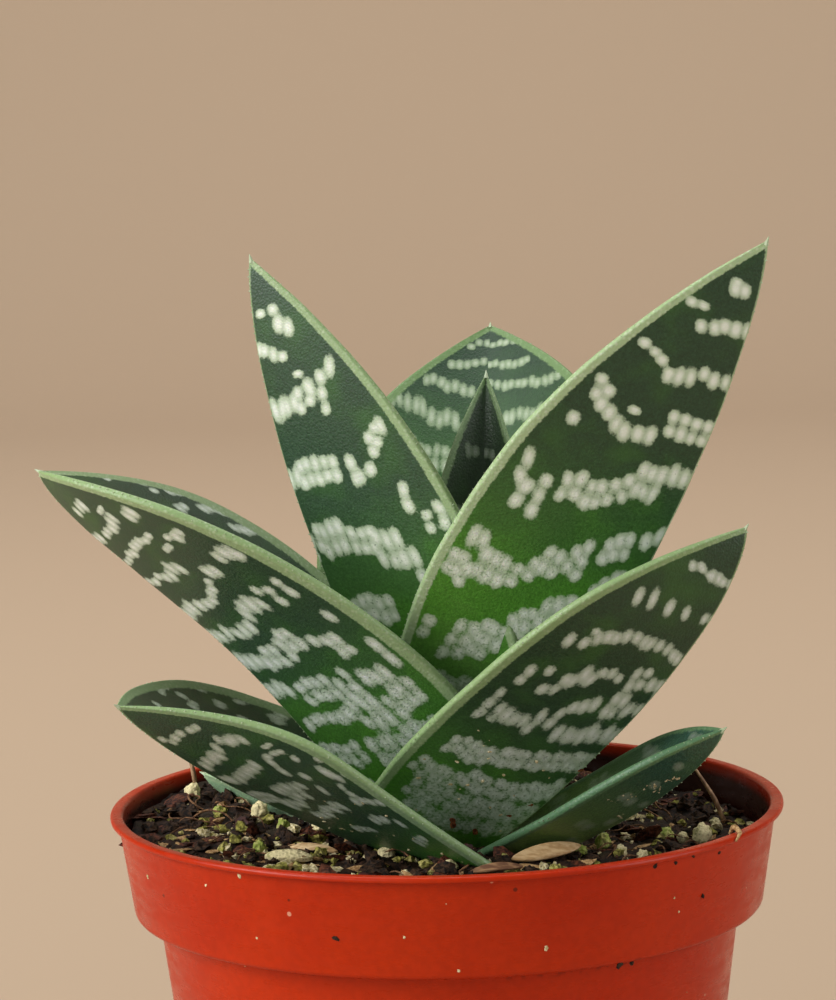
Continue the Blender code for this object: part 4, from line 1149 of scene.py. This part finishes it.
def fine_grain(node, seed, rough):
    """A finer ball with the size and place of a packed grain."""
    lo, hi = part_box(node)
    bpy.ops.mesh.primitive_ico_sphere_add(subdivisions=GRAIN_DETAIL, radius=1)
    grain = bpy.context.object
    grain.name = node + "_grain"
    co = mesh_points(grain)
    own = Vector((seed * 3.7, seed * 1.3, 0))
    co *= np.array([1 + rough * noise.noise(Vector(p) * 1.7 + own) + 0.5 * rough
                    * noise.noise(Vector(p) * 4.5 + own) for p in co])[:, None]
    middle, half = (np.array(lo) + np.array(hi)) / 2, (np.array(hi) - np.array(lo)) / 2
    set_points(grain, co * half + middle)
    grain.data.shade_smooth()
    return grain


nodes = sorted(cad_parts)
for k, node in enumerate(n for n in nodes if n.startswith("perlite_")):
    grain = fine_grain(node, k, 0.28)
    keep(grain, "perlite", green_perlite if node in GREENISH else cream_perlite, node)
for k, node in enumerate(n for n in nodes if n.startswith("bark_crumb_")):
    dark_bark = earthy("dark_bark_" + node[-2:], "1F0F0D", "4C2B26", rough=0.5, grain_mm=0.8)
    keep(fine_grain(node, k + 40, 0.4), "bark", dark_bark, node)

# %% [markdown]
# Splinters and chips of pine lie at the front, cut lengthwise along their grain, and a strip of bark
# curls next to them. Each is a bar with many cross sections, narrowed to ragged ends and bent.

# %% Wood chips
def fine_chip(node, start, end, half_width, half_thick, lean, curl, mat, slot):
    """A chip between two ends. An end is x, y and its height over the mix, in millimetres."""
    a = Vector((start[0], start[1], soil_height(*start[:2]) + start[2]))
    b = Vector((end[0], end[1], soil_height(*end[:2]) + end[2]))
    bpy.ops.mesh.primitive_cylinder_add(vertices=20, radius=1, depth=2, rotation=(0, math.pi / 2, 0))
    chip = bpy.context.object
    select_only(chip)
    bpy.ops.object.transform_apply(rotation=True)
    bpy.ops.object.mode_set(mode="EDIT")
    bpy.ops.mesh.select_mode(type="EDGE")
    bpy.ops.mesh.select_all(action="DESELECT")
    bpy.ops.object.mode_set(mode="OBJECT")
    for edge in chip.data.edges:
        u, v = (chip.data.vertices[i].co.x for i in edge.vertices)
        edge.select = abs(u - v) > 1
    bpy.ops.object.mode_set(mode="EDIT")
    bpy.ops.mesh.subdivide(number_cuts=28)
    bpy.ops.object.mode_set(mode="OBJECT")
    co = mesh_points(chip)
    seed = len(node)
    for k, (x, y, z) in enumerate(co):
        y, z = (math.copysign(abs(c) ** 0.6, c) for c in (y, z))
        ragged = noise.noise(Vector((seed, y * 3, z * 2)))
        narrow = (1 - abs(x) ** 2.4) ** 0.8 * 0.92 + 0.08
        ridge = 0.14 * noise.noise(Vector((x * 1.5, y * 5 + seed, z * 3)))
        lift = curl * (1 - x * x)
        co[k] = ((b - a).length / 2 * (x + 0.05 * ragged * abs(x)),
                 half_width * narrow * y * (1 + ridge),
                 half_thick * ((z * (0.5 + 0.5 * narrow)) * (1 + ridge) + lift + 0.35 * curl * y * y))
    turn = (b - a).to_track_quat("X", "Z").to_matrix() @ Matrix.Rotation(math.radians(lean), 3, "X")
    co = co @ np.array(turn.transposed()) + np.array((a + b) / 2)
    set_points(chip, co * MM)
    chip.name = node + "_fine"
    close_up(chip, 0.001 * MM)
    chip.data.shade_smooth()
    keep(chip, slot, mat, node)


def woody(name, dark, light, along):
    """Wood with its grain drawn out along one axis."""
    mat, add, shader = new_material(name)
    stretched = add("Mapping", {"Vector": add("TexCoord").outputs["Object"], "Scale": along})
    fibres = add("TexNoise", [stretched, 1 / (0.5 * MM), 4])
    streaks = add("MapRange", [fibres, 0.35, 0.65], **SMOOTH)
    base = add("Mix", [streaks, colour(dark), colour(light)], **COLOURS)
    bump = add("Bump", {"Height": fibres, "Strength": 0.6, "Distance": 0.15 * MM})
    plug_in(shader, {"Base Color": base, "Roughness": 0.7, "Normal": bump})
    return mat


pale_wood = woody("split_pine", "B28A5A", "E3C596", (0.2, 1, 1))
brown_wood = woody("weathered_pine_chip", "BE9562", "DDBB8A", (0.2, 1, 1))
curl_bark = woody("curled_bark", "6B452B", "A67D55", (0.25, 1, 1))
fine_chip("wood_chip_front", (9.4, -19.2, 0.8), (20.0, -14.4, 1.7), 1.25, 0.45, 50, 0.9, brown_wood,
          "wood")
fine_chip("bark_curl_front", (3.0, -25.2, 0.6), (11.0, -23.8, 0.9), 0.7, 0.4, 40, 1.6, curl_bark, "bark")
fine_chip("wood_chip_left", (-27.4, -18.0, 0.8), (-20.2, -18.6, 0.8), 1.15, 0.6, 25, 0.6, cream_perlite,
          "wood")
fine_chip("wood_splinter_left", (-24.2, -11.4, 0.8), (-16.6, -14.4, 0.8), 0.75, 0.4, 30, 0.8, pale_wood,
          "wood")

# %% [markdown]
# Twigs and hair roots
#
# They are thin round strands that wander: curves with a bevel, turned into meshes. The twig and the
# dry stalk stand up out of the mix, and the hair roots lie on it.

# %% Strands
def strand(name, points, radii):
    """A round strand through points, in millimetres, with a radius at each."""
    bpy.ops.curve.primitive_bezier_curve_add()
    ob = bpy.context.object
    ob.name = name
    curve = ob.data
    curve.splines.clear()
    line = curve.splines.new("BEZIER")
    line.bezier_points.add(len(points) - 1)
    for knot, point, radius in zip(line.bezier_points, points, radii):
        knot.co = Vector(point) * MM
        knot.handle_left_type = knot.handle_right_type = "AUTO"
        knot.radius = radius
    curve.bevel_depth = MM
    curve.bevel_resolution = 1
    curve.resolution_u = 4
    curve.use_fill_caps = True
    select_only(ob)
    bpy.ops.object.convert(target="MESH")
    return bpy.context.object


root_brown = earthy("hair_roots", "4A3020", "8A6444", rough=0.8, grain_mm=0.6)
stalk = woody("dry_twig", "7A5A40", "B5906A", (1, 1, 0.25))
twig = strand("twig_right_fine", [
    (44.2, 6.4, RIM - 7.4), (42.8, 6.3, RIM - 3.9), (42.1, 6.0, RIM - 2.2), (40.7, 6.2, RIM + 0.2),
    (39.2, 6.0, RIM + 2.6)], (0.45, 0.4, 0.44, 0.34, 0.28))
keep(twig, "wood", stalk, "twig_right")
dry = strand("dry_stalk_left_fine", [
    (-40.6, 23.6, RIM - 3.4), (-40.8, 23.9, RIM - 1.4), (-41.0, 23.7, RIM + 0.4),
    (-41.4, 24.0, RIM + 2.4)], (0.5, 0.4, 0.46, 0.34))
keep(dry, "wood", stalk, "dry_stalk_left")

HAIR_ROOTS, HAIR_KNOTS, HAIR_STEP = 70, 6, 1.7
HAIR_START_R, HAIR_MOST_R = 46.5, 47.3
rng = np.random.default_rng(21)
hairs = []
for k in range(HAIR_ROOTS):
    r, a = HAIR_START_R * math.sqrt(rng.random()), rng.uniform(0, 2 * math.pi)
    x, y, heading = r * math.cos(a), r * math.sin(a), rng.uniform(0, 2 * math.pi)
    points = []
    for knot in range(HAIR_KNOTS):
        arch = 0.5 + 0.9 * math.sin(math.pi * knot / (HAIR_KNOTS - 1)) * rng.random()
        points.append((x, y, mix_height(x, y) + arch - 0.5 * (knot in (0, HAIR_KNOTS - 1))))
        heading += rng.normal(0, 0.5)
        x, y = x + HAIR_STEP * math.cos(heading), y + HAIR_STEP * math.sin(heading)
        shrink = min(1, HAIR_MOST_R / math.hypot(x, y))
        x, y = x * shrink, y * shrink
    thick = rng.uniform(0.08, 0.2)
    hairs.append(strand("hair_roots", points, [thick] * (HAIR_KNOTS - 1) + [thick / 2]))
keep(join_all(hairs), "root", root_brown)

# %% [markdown]
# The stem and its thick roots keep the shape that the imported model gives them. They are hidden in the
# mix, and only get the corky brown skin of old aloe roots.

# %% Stem and thick roots
cork = earthy("corky_root_skin", "3E2A1A", "8C6A48", rough=0.85, grain_mm=1.2, tint="5A4630")
for holder in bpy.data.objects["stem_and_roots"].material_slots:
    holder.material = cork
print("stem and roots:", cork.name)

# %% [markdown]
# Splashes and specks
#
# Watering has thrown bits of bark and dust on the lowest leaves, and small crumbs and drops of hard
# water have dried on the collar. Each bit is a lump pressed flat on the surface that it sticks to.
# On a leaf its place is (share of the way from keel to edge, share of the length), and on the pot
# (degrees round the axis from +X, height).

# %% Bits stuck on leaves and pot
def pressed_flat(normal, rng, long, wide, thick):
    """Axes of three lengths, the last one along the normal, turned about it at random."""
    z = Vector(normal).normalized()
    x = (Matrix.Rotation(rng.uniform(0, 2 * math.pi), 3, z) @ z.orthogonal()).normalized()
    return np.array([x * long, z.cross(x) * wide, z * thick])


def on_leaf(name, q, s):
    """Point of a leaf's under face and the way that the face looks there."""
    d = LEAVES[name]
    here, further, outer = (blade_points(d, np.array(s + a), np.array(q + b), "under")
                            for a, b in ((0, 0), (0.01, 0), (0, 0.02)))
    normal = np.cross(further - here, outer - here)
    away = here - midline(d, np.array(s))[0]
    return here, normal * np.sign(normal @ away)


def on_pot(degrees, z):
    a = math.radians(degrees)
    heights = (0, STEP, STEP + 1.3, RIM - LIP_DEEP - 0.2)
    r = np.interp(z, heights, (BODY_LOW, BODY_TOP, COLLAR_LOW, COLLAR_TOP))
    return np.array((r * math.cos(a), r * math.sin(a), z)), np.array((math.cos(a), math.sin(a), 0))


def stick_on(name, slot, mat, spots, sizes, long=1.3, thick=0.35):
    """Copies of one lump, each pressed flat on its (place, normal)."""
    shape = lump_shapes(1, 0.9, len(name))[0]
    bases = []
    for place, normal in spots:
        size = rng.uniform(*sizes)
        bases.append((place, pressed_flat(normal, rng, size * long, size, size * thick)))
    keep(copies_of(name, shape, bases), slot, mat)


BARK_BITS = [(0.4, 0.065), (0.15, 0.165), (0.1, 0.218), (0.23, 0.08), (0.02, 0.353), (0.43, 0.075)]
DUST_PATCHES = [(0.33, 0.692), (0.48, 0.687), (0.55, 0.612), (0.67, 0.556), (0.21, 0.504), (0.33, 0.749)]
DARK_MARKS = [(-54.4, 86.5), (-50.0, 86.3), (-45.9, 86.6), (-38.8, 86.0), (-109, 78.5), (-60, 72.4),
              (-57, 72.2)]
PALE_MARKS = [(-152.9, 82.4), (-134.0, 84.0), (-126, 86.4), (-97.4, 79.0), (-88.7, 73.9), (-74, 76.5)]
PATCH_GRAINS, LOW_LEAF_GRAINS, MIDDLE_LEAF_GRAINS, POT_GRAINS = 7, 30, 24, 140
rng = np.random.default_rng(77)
splinters = earthy("bark_splinters", "5E2C16", "A4633A", rough=0.8, grain_mm=0.4)
bits = [on_leaf("leaf_right_middle", q, s) for q, s in BARK_BITS]
stick_on("bark_bits", "bark", splinters, bits, (0.2, 0.55), long=1.4)
dust = [on_leaf("leaf_right_low", q + rng.normal(0, 0.05), s + rng.normal(0, 0.012))
        for q, s in DUST_PATCHES for _ in range(PATCH_GRAINS)]
dust += [on_leaf("leaf_left_low", rng.uniform(-0.9, -0.1), rng.uniform(0.05, 0.45))
         for _ in range(LOW_LEAF_GRAINS)]
dust += [on_leaf("leaf_right_middle", rng.uniform(0.05, 0.9), rng.uniform(0.03, 0.35))
         for _ in range(MIDDLE_LEAF_GRAINS)]
stick_on("leaf_dust", "perlite", chalky, dust, (0.08, 0.26), long=1.4)
stick_on("collar_peat", "soil", dark_peat, [on_pot(*mark) for mark in DARK_MARKS], (0.25, 0.55), thick=0.25)
stick_on("collar_lime", "perlite", chalky, [on_pot(*mark) for mark in PALE_MARKS], (0.2, 0.42), thick=0.2)
specks = [on_pot(rng.uniform(0, 360), rng.uniform(3, RIM - 3)) for _ in range(POT_GRAINS)]
stick_on("pot_specks", "perlite", chalky, specks, (0.06, 0.17), thick=0.3)

# %% [markdown]
# A curled sliver of wood hangs over the lip at the right. Its points are the distance from the axis,
# the turn from the place on the lip in radians, and the height over the rim.

# %% Curl on the lip
LIP_CURL = math.radians(-33.8)
CURL = [(49.0, 0.03, -0.5), (50.1, 0.015, 0.7), (51.3, 0.0, 0.35), (52.0, -0.02, 0.25), (52.3, -0.05, -0.5)]
curl = [(r * math.cos(LIP_CURL + turn), r * math.sin(LIP_CURL + turn), RIM + up) for r, turn, up in CURL]
keep(strand("curl_on_lip", curl, (0.2, 0.42, 0.4, 0.3, 0.15)), "wood", tan_wood)
